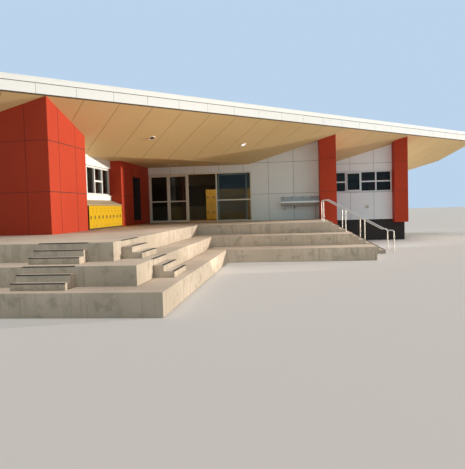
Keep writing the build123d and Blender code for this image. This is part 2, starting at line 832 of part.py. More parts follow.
rise_start = (pillar_left_x - rise_run, entry_y)
corner_court = (pillar_left_x, pillar_left_y)
corner_bay = (pillar_right_x, pillar_right_y)
crease_court = (crease_start_x, crease_line_y(crease_start_x))
crease_bay = (pillar_left_end, bay_y - bay_crease_run)
crease_wing = (left_x, wing_y - wing_crease_run)
locker_crease = (locker_wall_x, crease_line_y(locker_wall_x))
end_inset = (back_y - edge_y(tip_x)) / inward.Y
end_x = tip_x + inward.X * end_inset
wing_corner = (court_x, wing_y)

main_outline = [(court_x, edge_y(court_x)), (tip_x, edge_y(tip_x)), (end_x, back_y), (right_x, back_y),
                (right_x, pillar_right_y), corner_bay, crease_bay, (pillar_left_end, pillar_left_y),
                corner_court, crease_court, locker_crease, (locker_wall_x, return_end_y),
                (court_x, return_end_y)]
save(plate(main_outline, main_plane, lining), "main_soffit")


def on_main(point):
    """A plan point raised to the main soffit."""
    return (*point, soffit_z(*point))


wing_wall_top = (left_x, wing_y, eave_z - wing_top_drop)
court_wall_top = (pillar_left_x, entry_y, eave_z - court_top_drop)
bay_wall_start = (pillar_left_end, bay_y, eave_z - bay_low_drop)
bay_wall_top = (pillar_right_x, bay_y, eave_z - bay_top_drop)

wing_facet = plane_through(on_main(crease_wing), on_main(wing_corner), wing_wall_top)
with BuildPart() as wing_soffit:
    add(plate([(left_x, edge_y(left_x)), (court_x, edge_y(court_x)), wing_corner, crease_wing],
              main_plane, lining).part)
    add(plate([crease_wing, wing_corner, wing_wall_top[:2]], wing_facet, lining).part)
save(wing_soffit, "wing_soffit")

court_low = (*rise_start, ceiling_z)
court_left = plane_through((*crease_court, ceiling_z), on_main(corner_court), court_low)
court_right = plane_through(on_main(corner_court), court_wall_top, court_low)
with BuildPart() as court_soffit:
    add(plate([crease_court, corner_court, rise_start], court_left, lining).part)
    add(plate([corner_court, court_wall_top[:2], rise_start], court_right, lining).part)
save(court_soffit, "court_soffit")

bay_left = plane_through(on_main(crease_bay), on_main(corner_bay), bay_wall_start)
bay_right = plane_through(on_main(corner_bay), bay_wall_top, bay_wall_start)
with BuildPart() as bay_soffit:
    add(plate([crease_bay, corner_bay, bay_wall_start[:2]], bay_left, lining).part)
    add(plate([corner_bay, bay_wall_top[:2], bay_wall_start[:2]], bay_right, lining).part)
save(bay_soffit, "bay_soffit")

with BuildPart() as porch_ceiling:
    with BuildSketch(Plane.XY.offset(ceiling_z)):
        Polygon(locker_crease, crease_court, rise_start, (court_x, entry_y), (court_x, portal_y),
                (locker_wall_x, portal_y), align=None)
    extrude(amount=lining)
save(porch_ceiling, "porch_ceiling")

inner_left = left_x + wall_thickness
inner_right = right_x - wall_thickness
inner_back = back_y - wall_thickness
inner_entry = entry_y + wall_thickness
with BuildPart() as inside_ceiling:
    with BuildSketch(Plane.XY.offset(ceiling_z)):
        Polygon((inner_left, wing_y + wall_thickness), (court_x - wall_thickness, wing_y + wall_thickness),
                (court_x - wall_thickness, return_end_y), (portal_back_x, return_end_y),
                (portal_back_x, inner_entry), (pillar_left_x, inner_entry), (pillar_left_x, inner_bay_y),
                (inner_right, inner_bay_y), (inner_right, inner_back), (inner_left, inner_back),
                align=None)
    extrude(amount=lining)
save(inside_ceiling, "inside_ceiling")

# Roof: the falling deck, the fascia with its capping, and the closing end panels

roof_inset = fascia_thickness
roof_outline = [(left_x, edge_y(left_x) + roof_inset / inward.Y),
                (tip_x + inward.X * roof_inset, edge_y(tip_x) + inward.Y * roof_inset),
                (end_x, back_y), (left_x, back_y)]
save(plate(roof_outline, roof_plane, roof_thickness), "roof_deck")


def along_edge(near, far):
    """A strip of plan beside the roof edge, between two insets."""
    start = (left_x, edge_y(left_x) + near / inward.Y)
    end = (tip_x + inward.X * near, edge_y(tip_x) + inward.Y * near)
    start_far = (left_x, edge_y(left_x) + far / inward.Y)
    end_far = (tip_x + inward.X * far, edge_y(tip_x) + inward.Y * far)
    return [start, end, end_far, start_far]


fascia_foot = eave_z + lining
fascia_top = eave_z + fascia_height - capping_height
with BuildPart() as fascia:
    with BuildSketch(Plane.XY.offset(fascia_foot)):
        Polygon(*along_edge(0, fascia_thickness), align=None)
    extrude(amount=fascia_top - fascia_foot)
save(fascia, "fascia")
with BuildPart() as fascia_capping:
    with BuildSketch(Plane.XY.offset(fascia_top)):
        Polygon(*along_edge(-capping_proud, fascia_thickness + capping_proud), align=None)
    extrude(amount=capping_height)
save(fascia_capping, "fascia_capping")


def infill(outline, lowers, upper):
    """Upright panel over a plan strip, above the soffit planes and below another."""
    with BuildPart() as panel:
        with BuildSketch(Plane.XY.offset(floor_z)):
            Polygon(*outline, align=None)
        extrude(amount=eave_z)
        for lower in lowers:
            split(bisect_by=raised(lower, lining), keep=Keep.TOP)
        split(bisect_by=upper, keep=Keep.BOTTOM)
    return panel


along = Vector(inward.Y, -inward.X, 0)
tip_start = Vector(tip_x, edge_y(tip_x), 0) + inward * fascia_thickness
tip_end = Vector(end_x, back_y, 0)
tip_strip = [(p.X, p.Y) for p in (tip_start, tip_end, tip_end - along * end_panel,
                                  tip_start - along * end_panel)]
left_strip_y = edge_y(left_x + end_panel) + fascia_thickness / inward.Y
with BuildPart() as roof_end_panels:
    add(infill(rect(left_x, left_strip_y, left_x + end_panel, wing_y),
               (main_plane, wing_facet), roof_plane).part)
    add(infill(tip_strip, (main_plane,), roof_plane).part)
    add(infill(rect(right_x, back_y - end_panel, end_x - end_panel, back_y),
               (main_plane,), roof_plane).part)
save(roof_end_panels, "roof_end_panels")

# Lights: flush discs in the soffit and one round bulkhead on the bay wall

with BuildPart() as lights:
    for x, y in soffit_light_places:
        with BuildSketch(Plane(origin=(x, y, soffit_z(x, y)), z_dir=-main_plane.z_dir)):
            Circle(light_radius)
        extrude(amount=light_drop)
    with BuildSketch(Plane.XY.offset(ceiling_z)):
        with Locations(*porch_light_places):
            Circle(light_radius)
    extrude(amount=-light_drop)
    with BuildSketch(front_plane(bay_y)):
        with Locations((bulkhead_x, floor_z + bulkhead_height)):
            Circle(light_radius)
    extrude(amount=bulkhead_depth)
save(lights, "lights")
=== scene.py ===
"""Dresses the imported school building: cladding, terraces, entrance, lockers, trough, roof and studio.

Lengths are in metres and the frame is the model's own: +X right along the terrace fronts, +Y back into
the building, +Z up, with the origin on the ground under the deck's front right corner.
"""

from __future__ import annotations

import json
import logging
import math
from dataclasses import dataclass, field, replace
from enum import Enum
from typing import Callable, Iterable, Sequence

import bmesh
import bpy
from mathutils import Matrix, Vector

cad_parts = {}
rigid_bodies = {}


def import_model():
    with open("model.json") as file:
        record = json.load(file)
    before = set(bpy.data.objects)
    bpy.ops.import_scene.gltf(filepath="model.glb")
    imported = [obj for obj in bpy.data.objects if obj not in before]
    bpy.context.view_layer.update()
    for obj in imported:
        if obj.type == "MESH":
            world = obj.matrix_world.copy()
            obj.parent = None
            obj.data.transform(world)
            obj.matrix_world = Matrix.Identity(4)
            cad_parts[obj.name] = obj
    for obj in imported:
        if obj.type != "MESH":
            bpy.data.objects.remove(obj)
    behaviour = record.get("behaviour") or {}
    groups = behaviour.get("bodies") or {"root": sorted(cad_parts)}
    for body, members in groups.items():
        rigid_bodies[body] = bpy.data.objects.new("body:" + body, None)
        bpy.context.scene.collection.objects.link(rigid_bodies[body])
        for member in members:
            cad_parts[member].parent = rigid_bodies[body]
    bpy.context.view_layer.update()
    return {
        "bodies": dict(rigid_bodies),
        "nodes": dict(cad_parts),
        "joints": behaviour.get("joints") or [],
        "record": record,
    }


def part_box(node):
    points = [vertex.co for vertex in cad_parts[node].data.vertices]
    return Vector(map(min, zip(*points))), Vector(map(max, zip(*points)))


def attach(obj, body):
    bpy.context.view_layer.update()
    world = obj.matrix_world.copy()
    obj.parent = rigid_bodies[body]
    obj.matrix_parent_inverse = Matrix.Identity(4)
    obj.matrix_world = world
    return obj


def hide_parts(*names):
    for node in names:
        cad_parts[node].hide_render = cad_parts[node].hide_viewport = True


LOG = logging.getLogger("school_building")

Point = tuple[float, float, float]
Colour = tuple[float, float, float]
Shape = bmesh.types.BMesh
Face = bmesh.types.BMFace
Edge = bmesh.types.BMEdge
Vert = bmesh.types.BMVert
Node = bpy.types.Node
Socket = bpy.types.NodeSocket
UP = Vector((0.0, 0.0, 1.0))
MERGE_DISTANCE = 0.00005
CUT_DISTANCE = 0.00002
FLAT_ANGLE = math.radians(0.6)
SAME_FACING = 0.9995
SAME_LEVEL = 0.02
STRIP_SHARE = 0.45
STEEP = 0.5
ARC_STEP = 0.2
ARC_FACES = 3
ROUND_SMOOTH = 40.0
EDGE_SMOOTH = 30.0
CLOUD_ROUGHNESS = 0.55
GRAIN_ROUGHNESS = 0.65
GRAIN_DETAIL = 6.0
GRAIN_RANGE = (0.36, 0.64)


class Body(Enum):
    """The rigid bodies that pieces ride on."""

    BUILDING = "building"
    LEFT_LEAF = "left_leaf"
    RIGHT_LEAF = "right_leaf"
    SLIDING_LEAF = "sliding_leaf"


class Axis(Enum):
    """The three directions of the frame."""

    X = 0
    Y = 1
    Z = 2

    @property
    def vector(self) -> Vector:
        """Unit vector of this direction."""
        return Vector([1.0 if self.value == place else 0.0 for place in range(3)])


# Finishes


class Graph:
    """A node tree with short calls for adding and joining nodes.

    A Mix node has several sockets of one name, so its colours are reached by their places.
    """

    COLOUR_A, COLOUR_B, COLOUR_OUT = 6, 7, 2

    def __init__(self, tree: bpy.types.NodeTree) -> None:
        """Wraps a tree.

        Args:
            tree: The shader tree to fill.
        """
        self.tree = tree

    @staticmethod
    def fill(node: Node, **values: object) -> None:
        """Sets values on a node.

        Args:
            node: The node.
            **values: Its attributes, or input values under names such as in_Scale.
        """
        for name, value in values.items():
            if name.startswith("in_"):
                node.inputs[name.removeprefix("in_").replace("_", " ")].default_value = value
            else:
                setattr(node, name, value)

    def add(self, kind: str, **values: object) -> Node:
        """Adds a node.

        Args:
            kind: The node's class name without its common prefix.
            **values: What fill sets on it.

        Returns:
            The new node.
        """
        node = self.tree.nodes.new(kind if kind.startswith("Node") else f"ShaderNode{kind}")
        self.fill(node, **values)
        return node

    def join(self, source: Socket, target: Socket) -> None:
        """Links two sockets."""
        self.tree.links.new(source, target)

    def object_point(self, scale: Point = (1.0, 1.0, 1.0)) -> Socket:
        """Object coordinates, stretched.

        Args:
            scale: Stretch along each direction.

        Returns:
            The socket that carries the point.
        """
        mapping = self.add("Mapping", in_Scale=scale)
        self.join(self.add("TexCoord").outputs["Object"], mapping.inputs["Vector"])
        return mapping.outputs["Vector"]

    def noise(self, point: Socket, scale: float, detail: float = 4.0) -> Socket:
        """Noise over a point.

        Args:
            point: Where it is read.
            scale: Features per metre.
            detail: Octaves.

        Returns:
            The socket with the noise, about 0.3 to 0.7.
        """
        node = self.add("TexNoise", in_Scale=scale, in_Detail=detail, in_Roughness=CLOUD_ROUGHNESS)
        self.join(point, node.inputs["Vector"])
        return node.outputs["Fac"]

    def ranged(self, value: Socket, low: float, high: float,
               new_low: float = 0.0, new_high: float = 1.0) -> Socket:
        """Maps a value's range to another, held at its ends.

        Args:
            value: The value.
            low: Start of its range.
            high: End of its range.
            new_low: Start of the new range.
            new_high: End of the new range.

        Returns:
            The socket with the mapped value.
        """
        node = self.add("MapRange", in_From_Min=low, in_From_Max=high, in_To_Min=new_low, in_To_Max=new_high)
        self.join(value, node.inputs["Value"])
        return node.outputs["Result"]

    def math(self, operation: str, first: Socket, second: Socket | float) -> Socket:
        """One sum on two values.

        Args:
            operation: The node's operation.
            first: The first value.
            second: The second value, a socket or a number.

        Returns:
            The socket with the result.
        """
        node = self.add("Math", operation=operation)
        self.join(first, node.inputs[0])
        if isinstance(second, float):
            node.inputs[1].default_value = second
        else:
            self.join(second, node.inputs[1])
        return node.outputs[0]

    def blend(self, amount: Socket, first: Socket, second: Socket) -> Socket:
        """Mixes two colours.

        Args:
            amount: 0 for the first, 1 for the second.
            first: The first colour.
            second: The second colour.

        Returns:
            The socket with the colour.
        """
        node = self.add("Mix", data_type="RGBA")
        self.join(amount, node.inputs["Factor"])
        self.join(first, node.inputs[self.COLOUR_A])
        self.join(second, node.inputs[self.COLOUR_B])
        return node.outputs[self.COLOUR_OUT]


def shader_group(name: str, inputs: Sequence[tuple[str, str]], outputs: Sequence[tuple[str, str]],
                 fill: Callable[[Graph, Node, Node], None]) -> bpy.types.NodeTree:
    """Builds a node group once.

    Args:
        name: The group's name.
        inputs: Name and socket type of each input.
        outputs: Name and socket type of each output.
        fill: Adds the nodes between the group's two ends.

    Returns:
        The group.
    """
    if name in bpy.data.node_groups:
        return bpy.data.node_groups[name]
    tree = bpy.data.node_groups.new(name, "ShaderNodeTree")
    for direction, sockets in (("INPUT", inputs), ("OUTPUT", outputs)):
        for label, kind in sockets:
            tree.interface.new_socket(name=label, in_out=direction, socket_type=f"NodeSocket{kind}")
    graph = Graph(tree)
    fill(graph, graph.add("NodeGroupInput"), graph.add("NodeGroupOutput"))
    return tree


@dataclass(frozen=True)
class Cloud:
    """A soft noise mask.

    Scale is features per metre and detail its octaves. Noise from low to high becomes 0 to 1.
    """

    scale: float
    detail: float
    low: float
    high: float
    stretch: Point = (1.0, 1.0, 1.0)

    def mask(self, graph: Graph, start: float = 0.0, end: float = 1.0) -> Socket:
        """Adds the mask to a tree, from a start value where there is none to an end value."""
        noise = graph.noise(graph.object_point(self.stretch), self.scale, self.detail)
        return graph.ranged(noise, self.low, self.high, start, end)


PATCHES = Cloud(0.45, 5.0, 0.38, 0.68)
MOTTLE = Cloud(3.4, 4.0, 0.46, 0.66)
RUNS = Cloud(1.6, 4.0, 0.44, 0.70, (5.0, 5.0, 0.22))
DUST = Cloud(2.2, 5.0, 0.4, 0.75)


def fill_weathering(graph: Graph, start: Node, end: Node) -> None:
    """Broad patches everywhere, and mottle and run marks on upright faces, over a base colour.

    Args:
        graph: The group's nodes.
        start: Where its inputs come in.
        end: Where its outputs go out.
    """
    patches = PATCHES.mask(graph)
    mottle = MOTTLE.mask(graph)
    runs = graph.math("MAXIMUM", RUNS.mask(graph), mottle)
    normal = graph.add("SeparateXYZ")
    graph.join(graph.add("NewGeometry").outputs["Normal"], normal.inputs[0])
    upright = graph.math("SUBTRACT", graph.math("ABSOLUTE", normal.outputs["Z"], 0.0), 1.0)
    runs = graph.math("MULTIPLY", runs, graph.math("ABSOLUTE", upright, 0.0))
    mask = graph.math("MAXIMUM", graph.math("MULTIPLY", patches, start.outputs["Patches"]),
                      graph.math("MULTIPLY", runs, start.outputs["Runs"]))
    graph.join(graph.blend(mask, start.outputs["Colour"], start.outputs["Stain"]), end.inputs["Colour"])
    graph.join(mask, end.inputs["Mask"])


def fill_grain(graph: Graph, start: Node, end: Node) -> None:
    """Fine speckle, with its height.

    Args:
        graph: The group's nodes.
        start: Where its inputs come in.
        end: Where its outputs go out.
    """
    fine = graph.add("TexNoise", in_Detail=GRAIN_DETAIL, in_Roughness=GRAIN_ROUGHNESS)
    graph.join(graph.object_point(), fine.inputs["Vector"])
    graph.join(start.outputs["Scale"], fine.inputs["Scale"])
    speck = graph.ranged(fine.outputs["Fac"], *GRAIN_RANGE)
    graph.join(speck, end.inputs["Height"])
    amount = graph.math("MULTIPLY", speck, start.outputs["Amount"])
    graph.join(graph.blend(amount, start.outputs["Colour"], start.outputs["Speck"]), end.inputs["Colour"])


def weathering_group() -> bpy.types.NodeTree:
    """The shared group for patches and run marks."""
    return shader_group("Weathering", [("Colour", "Color"), ("Stain", "Color"), ("Patches", "Float"),
                                       ("Runs", "Float")], [("Colour", "Color"), ("Mask", "Float")],
                        fill_weathering)


def grain_group() -> bpy.types.NodeTree:
    """The shared group for fine speckle."""
    return shader_group("Fine Grain", [("Colour", "Color"), ("Speck", "Color"), ("Scale", "Float"),
                                       ("Amount", "Float")], [("Colour", "Color"), ("Height", "Float")],
                        fill_grain)


def new_material(name: str, colour: Colour,
                 alpha: float = 1.0) -> tuple[bpy.types.Material, Graph, Node]:
    """Starts a material.

    Args:
        name: Its name.
        colour: Its colour in a plain view.
        alpha: How solid it is in a plain view.

    Returns:
        The material, its graph and its shader.
    """
    material = bpy.data.materials.new(name)
    material.use_nodes = True
    material.diffuse_color = (*colour, alpha)
    return material, Graph(material.node_tree), material.node_tree.nodes["Principled BSDF"]


@dataclass(frozen=True)
class Finish:
    """A weathered, fine-grained surface.

    The colours are linear. Patches and runs are how strongly stains cover it, and grain is how many
    specks there are to a metre.
    """

    name: str
    slot: str
    colour: Colour
    stain: Colour
    speck: Colour
    patches: float = 0.25
    runs: float = 0.2
    grain: float = 60.0
    speckle: float = 0.25
    bump: float = 0.002
    roughness: float = 0.5
    metallic: float = 0.0
    coat: float = 0.0
    specular: float = 0.5
    glow: float = 0.0
    glow_colour: Colour = (1.0, 0.95, 0.86)
    bump_strength: float = 0.6
    stain_roughness: float = 0.25

    def material(self) -> bpy.types.Material:
        """Builds the material, or finds it.

        Returns:
            The material.
        """
        if self.name in bpy.data.materials:
            return bpy.data.materials[self.name]
        material, graph, shader = new_material(self.name, self.colour)
        weathering = graph.add("Group", node_tree=weathering_group(), in_Colour=(*self.colour, 1.0),
                               in_Stain=(*self.stain, 1.0), in_Patches=self.patches, in_Runs=self.runs)
        grain = graph.add("Group", node_tree=grain_group(), in_Speck=(*self.speck, 1.0), in_Scale=self.grain,
                          in_Amount=self.speckle)
        rough = graph.ranged(weathering.outputs["Mask"], 0.0, 1.0, self.roughness,
                             min(self.roughness + self.stain_roughness, 1.0))
        bump = graph.add("Bump", in_Strength=self.bump_strength, in_Distance=self.bump)
        for source, target in ((weathering.outputs["Colour"], grain.inputs["Colour"]),
                               (grain.outputs["Colour"], shader.inputs["Base Color"]),
                               (rough, shader.inputs["Roughness"]),
                               (grain.outputs["Height"], bump.inputs["Height"]),
                               (bump.outputs["Normal"], shader.inputs["Normal"])):
            graph.join(source, target)
        graph.fill(shader, in_Metallic=self.metallic, in_Coat_Weight=self.coat,
                   in_Specular_IOR_Level=self.specular, in_Emission_Color=(*self.glow_colour, 1.0),
                   in_Emission_Strength=self.glow)
        return material


@dataclass(frozen=True)
class Glazing:
    """Clear glass with faint dust."""

    name: str
    slot: str
    colour: Colour
    roughness: float = 0.02
    index: float = 1.24
    specular: float = 0.5
    shown: float = 0.4
    dust: float = 0.05

    def material(self) -> bpy.types.Material:
        """Builds the material, or finds it.

        Returns:
            The material.
        """
        if self.name in bpy.data.materials:
            return bpy.data.materials[self.name]
        material, graph, shader = new_material(self.name, self.colour, self.shown)
        graph.join(DUST.mask(graph, self.roughness, self.roughness + self.dust), shader.inputs["Roughness"])
        graph.fill(shader, in_Base_Color=(*self.colour, 1.0), in_Transmission_Weight=1.0, in_IOR=self.index,
                   in_Specular_IOR_Level=self.specular)
        return material


class Finishes:
    """Every finish of the building."""

    RED = Finish("red_cladding", "red_panel", (0.485, 0.052, 0.021), (0.36, 0.033, 0.014),
                 (0.54, 0.062, 0.028), patches=0.35, runs=0.18, grain=90.0, speckle=0.18, bump=0.0006,
                 specular=0.15)
    WHITE = Finish("white_cladding", "white_panel", (0.90, 0.89, 0.88), (0.76, 0.75, 0.72),
                   (0.90, 0.90, 0.89), runs=0.22, grain=90.0, speckle=0.2, bump=0.0006, specular=0.35)
    FASCIA = Finish("fascia_white", "white_panel", (0.87, 0.855, 0.84), (0.75, 0.72, 0.69),
                    (0.90, 0.88, 0.87), patches=0.12, grain=90.0, speckle=0.15, bump=0.0005,
                    roughness=0.6, specular=0.12)
    # Painted light: the soffit's cream paint is tinted warmer and more orange, standing in for warm light
    # bounced up from the sunlit deck.
    SOFFIT = Finish("soffit_paint", "cream_soffit", (0.73, 0.530, 0.270), (0.65, 0.445, 0.205),
                    (0.77, 0.58, 0.32), patches=0.35, runs=0.0, grain=70.0, speckle=0.15, bump=0.0006,
                    roughness=0.6, specular=0.25)
    # Dark brown for the soffit's open joints, and painted shadow on the strips under the fascia capping and
    # along the soffit's edge.
    SOFFIT_JOINT_AND_SHADOW = Finish("brown_joint", "cream_soffit", (0.075, 0.048, 0.026), (0.05, 0.032, 0.018),
                          (0.11, 0.075, 0.045), grain=120.0, roughness=0.8)
    FASCIA_JOINT = Finish("pale_joint", "white_panel", (0.40, 0.37, 0.33), (0.3, 0.27, 0.23),
                          (0.46, 0.43, 0.39), grain=120.0, roughness=0.8)
    JOINT = Finish("dark_joint", "red_panel", (0.035, 0.02, 0.018), (0.02, 0.015, 0.014), (0.06, 0.04, 0.035),
                   grain=120.0, roughness=0.8)
    PALE_JOINT = Finish("grey_joint", "white_panel", (0.11, 0.10, 0.09), (0.07, 0.065, 0.06),
                        (0.16, 0.15, 0.14), grain=120.0, roughness=0.8)
    CONCRETE = Finish("cast_concrete", "concrete", (0.59, 0.468, 0.358), (0.27, 0.205, 0.145),
                      (0.63, 0.57, 0.48), patches=0.55, runs=0.75, grain=38.0, speckle=0.35, bump=0.003,
                      roughness=0.72)
    BLOCK = Finish("base_block", "dark_block", (0.026, 0.022, 0.020), (0.05, 0.043, 0.036),
                   (0.085, 0.075, 0.065), patches=0.4, grain=45.0, speckle=0.4, bump=0.004,
                   roughness=0.8)
    PARTY = Finish("party_blockwork", "party_block", (0.42, 0.40, 0.37), (0.27, 0.25, 0.22),
                   (0.55, 0.53, 0.5), patches=0.4, runs=0.3, grain=45.0, speckle=0.4, bump=0.004,
                   roughness=0.8)
    ROOF = Finish("roof_coating", "roof_sheet", (0.50, 0.50, 0.48), (0.36, 0.35, 0.33), (0.58, 0.58, 0.56),
                  patches=0.4, runs=0.0, speckle=0.15, bump=0.0005, roughness=0.4, metallic=0.6)
    FRAME = Finish("frame_coating", "pearl_frame", (0.86, 0.76, 0.60), (0.66, 0.56, 0.42), (0.90, 0.82, 0.68),
                   patches=0.15, runs=0.1, grain=120.0, speckle=0.15, bump=0.0003, roughness=0.32,
                   metallic=0.05)
    SASH = Finish("white_frame", "pearl_frame", (0.84, 0.84, 0.83), (0.7, 0.69, 0.66), (0.88, 0.88, 0.87),
                  patches=0.15, runs=0.15, grain=120.0, speckle=0.12, bump=0.0003, roughness=0.35)
    LOCKER = Finish("yellow_enamel", "yellow_locker", (0.71, 0.43, 0.003), (0.60, 0.33, 0.003),
                    (0.72, 0.42, 0.015), runs=0.05, grain=140.0, speckle=0.15, bump=0.0003,
                    roughness=0.34, coat=0.3)
    TIMBER_GREY = Finish("locker_shelf", "cream_soffit", (0.48, 0.38, 0.25), (0.34, 0.26, 0.17),
                         (0.55, 0.45, 0.32), patches=0.5, runs=0.1, grain=80.0, speckle=0.3, bump=0.0008,
                         roughness=0.55)
    STEEL = Finish("brushed_stainless", "stainless", (0.76, 0.70, 0.60), (0.55, 0.49, 0.40),
                   (0.80, 0.78, 0.75), runs=0.15, grain=200.0, speckle=0.3, bump=0.0002,
                   roughness=0.32, metallic=0.9)
    BASIN = Finish("satin_stainless", "stainless", (0.50, 0.49, 0.46), (0.36, 0.34, 0.31), (0.60, 0.59, 0.56),
                   patches=0.3, grain=200.0, speckle=0.3, bump=0.0002, roughness=0.42,
                   metallic=0.35)
    TAP = Finish("aged_tap_metal", "stainless", (0.085, 0.070, 0.055), (0.05, 0.04, 0.03), (0.16, 0.13, 0.10),
                 patches=0.3, grain=200.0, speckle=0.3, bump=0.0002, roughness=0.3, metallic=0.5)
    NOSING = Finish("dark_nosing", "concrete", (0.070, 0.058, 0.048), (0.11, 0.095, 0.075),
                    (0.11, 0.095, 0.08), patches=0.4, grain=160.0, speckle=0.4, bump=0.001, roughness=0.85)
    # Painted shade: near-black standing in for the shade in locker vent slots, latch cups and lamp cups, on
    # the locker carcasses seen between the doors and on the block in the gap beside the lockers; the latch
    # grips take it as plain black.
    PAINTED_SHADE_BLACK = Finish("dark_recess", "yellow_locker", (0.02, 0.016, 0.012), (0.03, 0.025, 0.02),
                  (0.04, 0.035, 0.03), grain=120.0, roughness=0.7)
    LENS = Finish("opal_lens", "lamp_lens", (0.85, 0.84, 0.80), (0.7, 0.68, 0.62), (0.9, 0.89, 0.86),
                  patches=0.1, grain=120.0, speckle=0.1, bump=0.0002, roughness=0.35, coat=0.4)
    LAMP_GLASS = Finish("lamp_glass", "lamp_lens", (0.10, 0.09, 0.075), (0.07, 0.06, 0.05),
                        (0.16, 0.15, 0.12), patches=0.1, grain=120.0, speckle=0.1, bump=0.0002,
                        roughness=0.15, coat=0.5)
    LIT_LENS = replace(LENS, name="lit_lens", coat=0.0, glow=1.1)
    PLASTER = Finish("inside_paint", "white_panel", (0.42, 0.38, 0.31), (0.32, 0.28, 0.22), (0.5, 0.45, 0.38),
                     patches=0.3, grain=80.0, speckle=0.15, bump=0.0006, roughness=0.7)
    BLIND = Finish("roller_blind", "pearl_frame", (0.20, 0.19, 0.17), (0.14, 0.13, 0.12), (0.26, 0.25, 0.23),
                   patches=0.2, grain=300.0, speckle=0.4, bump=0.0004, roughness=0.85, specular=0.1)
    GLASS = Glazing("window_pane", "clear_glass", (0.36, 0.40, 0.38))


# Making and placing pieces


def place(bm: Shape, name: str, finish: Finish | Glazing, body: Body = Body.BUILDING,
          stands_for: Sequence[str] = (), smooth: float = 0.0) -> None:
    """Turns a bmesh into a piece that rides on a body.

    Args:
        bm: The shape, in the frame. It is freed here.
        name: The piece's name.
        finish: What it is finished in.
        body: The body that carries it.
        stands_for: Model nodes that it replaces.
        smooth: Angle in degrees under which edges are shaded smooth, or 0 for flat faces.
    """
    mesh = bpy.data.meshes.new(name)
    bm.to_mesh(mesh)
    bm.free()
    if smooth:
        mesh.shade_smooth()
        mesh.set_sharp_from_angle(angle=math.radians(smooth))
    mesh.materials.append(finish.material())
    piece = bpy.data.objects.new(name, mesh)
    bpy.context.scene.collection.objects.link(piece)
    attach(piece, body.value)
    if stands_for:
        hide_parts(*stands_for)
    LOG.info("%s: %d faces, %s, on %s", name, len(mesh.polygons), finish.name, body.value)


def everything(bm: Shape) -> list[Vert | Edge | Face]:
    """All vertices, edges and faces of a bmesh."""
    return [*bm.verts, *bm.edges, *bm.faces]


def each_once(items: Iterable[Vert | Edge]) -> list[Vert | Edge]:
    """Items without repeats, in the order that they come, which a set wouldn't keep."""
    return list(dict.fromkeys(items))


def flatten(bm: Shape) -> None:
    """Joins the faces that lie in one plane."""
    bmesh.ops.dissolve_limit(bm, angle_limit=FLAT_ANGLE, verts=bm.verts[:], edges=bm.edges[:])


def merged_copy(node: bpy.types.Object) -> Shape:
    """A model node's shape with its loose triangles joined into flat faces.

    Args:
        node: The node's object.

    Returns:
        The new bmesh.
    """
    bm = bmesh.new()
    bm.from_mesh(node.data)
    for face in bm.faces:
        face.smooth = False
    bmesh.ops.remove_doubles(bm, verts=bm.verts[:], dist=MERGE_DISTANCE)
    flatten(bm)
    return bm


def outer_faces(node: bpy.types.Object, facing: Vector) -> Shape:
    """The outermost faces of a node that look one way, as an open sheet.

    Args:
        node: The node's object.
        facing: The direction that they look.

    Returns:
        The new bmesh.
    """
    bm = merged_copy(node)
    bm.normal_update()
    facing = facing.normalized()
    looking = [face for face in bm.faces if face.normal.dot(facing) > SAME_FACING]
    reach = max(face.calc_center_median().dot(facing) for face in looking)
    kept = {face for face in looking if face.calc_center_median().dot(facing) > reach - SAME_LEVEL}
    bmesh.ops.delete(bm, geom=[face for face in bm.faces if face not in kept], context="FACES")
    return bm


def cut(bm: Shape, normal: Vector, distance: float, faces: Sequence[Face] | None = None) -> None:
    """Cuts faces along a plane.

    Args:
        bm: The shape.
        normal: Direction square to the plane.
        distance: The plane's distance in that direction.
        faces: The faces to cut, or None for the whole shape.
    """
    geom = everything(bm) if faces is None else [
        *faces, *each_once(edge for face in faces for edge in face.edges),
        *each_once(vert for face in faces for vert in face.verts)]
    bmesh.ops.bisect_plane(bm, geom=geom, dist=CUT_DISTANCE, plane_co=normal * distance, plane_no=normal)


def strips_on(bm: Shape, across: Vector, lines: Sequence[float], width: float) -> list[Face]:
    """The faces of a cut sheet that lie on lines, told by their distances across."""
    return [face for face in bm.faces
            if any(abs(face.calc_center_median().dot(across) - line) < width * STRIP_SHARE for line in lines)]


def cut_strips(bm: Shape, across: Vector, lines: Sequence[float], width: float) -> list[Face]:
    """Cuts a sheet along both sides of each line.

    Args:
        bm: The sheet.
        across: Direction square to the lines.
        lines: Each line's distance in that direction.
        width: The width of the strips.

    Returns:
        The faces of the strips between the cuts.
    """
    for line in lines:
        for side in (line - width / 2, line + width / 2):
            cut(bm, across, side)
    return strips_on(bm, across, lines, width)


def thicken(bm: Shape, normal: Vector, depth: float) -> None:
    """Gives a sheet thickness towards the way that it looks, closed at the back.

    Args:
        bm: The sheet.
        normal: The way that it looks.
        depth: Its thickness.
    """
    grown = bmesh.ops.extrude_face_region(bm, geom=bm.faces[:], use_keep_orig=True)["geom"]
    moved = [item for item in grown if isinstance(item, Vert)]
    bmesh.ops.translate(bm, verts=moved, vec=normal * depth)
    bmesh.ops.recalc_face_normals(bm, faces=bm.faces[:])


def soften(bm: Shape, width: float, angle: float = 35.0, segments: int = 1) -> None:
    """Bevels every edge that is sharper than an angle.

    Args:
        bm: The shape.
        width: Width of the bevel.
        angle: Angle in degrees.
        segments: Faces across the bevel.
    """
    bm.normal_update()
    sharp = [edge for edge in bm.edges
             if edge.is_manifold and edge.calc_face_angle(0.0) > math.radians(angle)]
    bmesh.ops.bevel(bm, geom=sharp, offset=width, offset_type="OFFSET", segments=segments, profile=0.5,
                    affect="EDGES", material=-1, clamp_overlap=True)


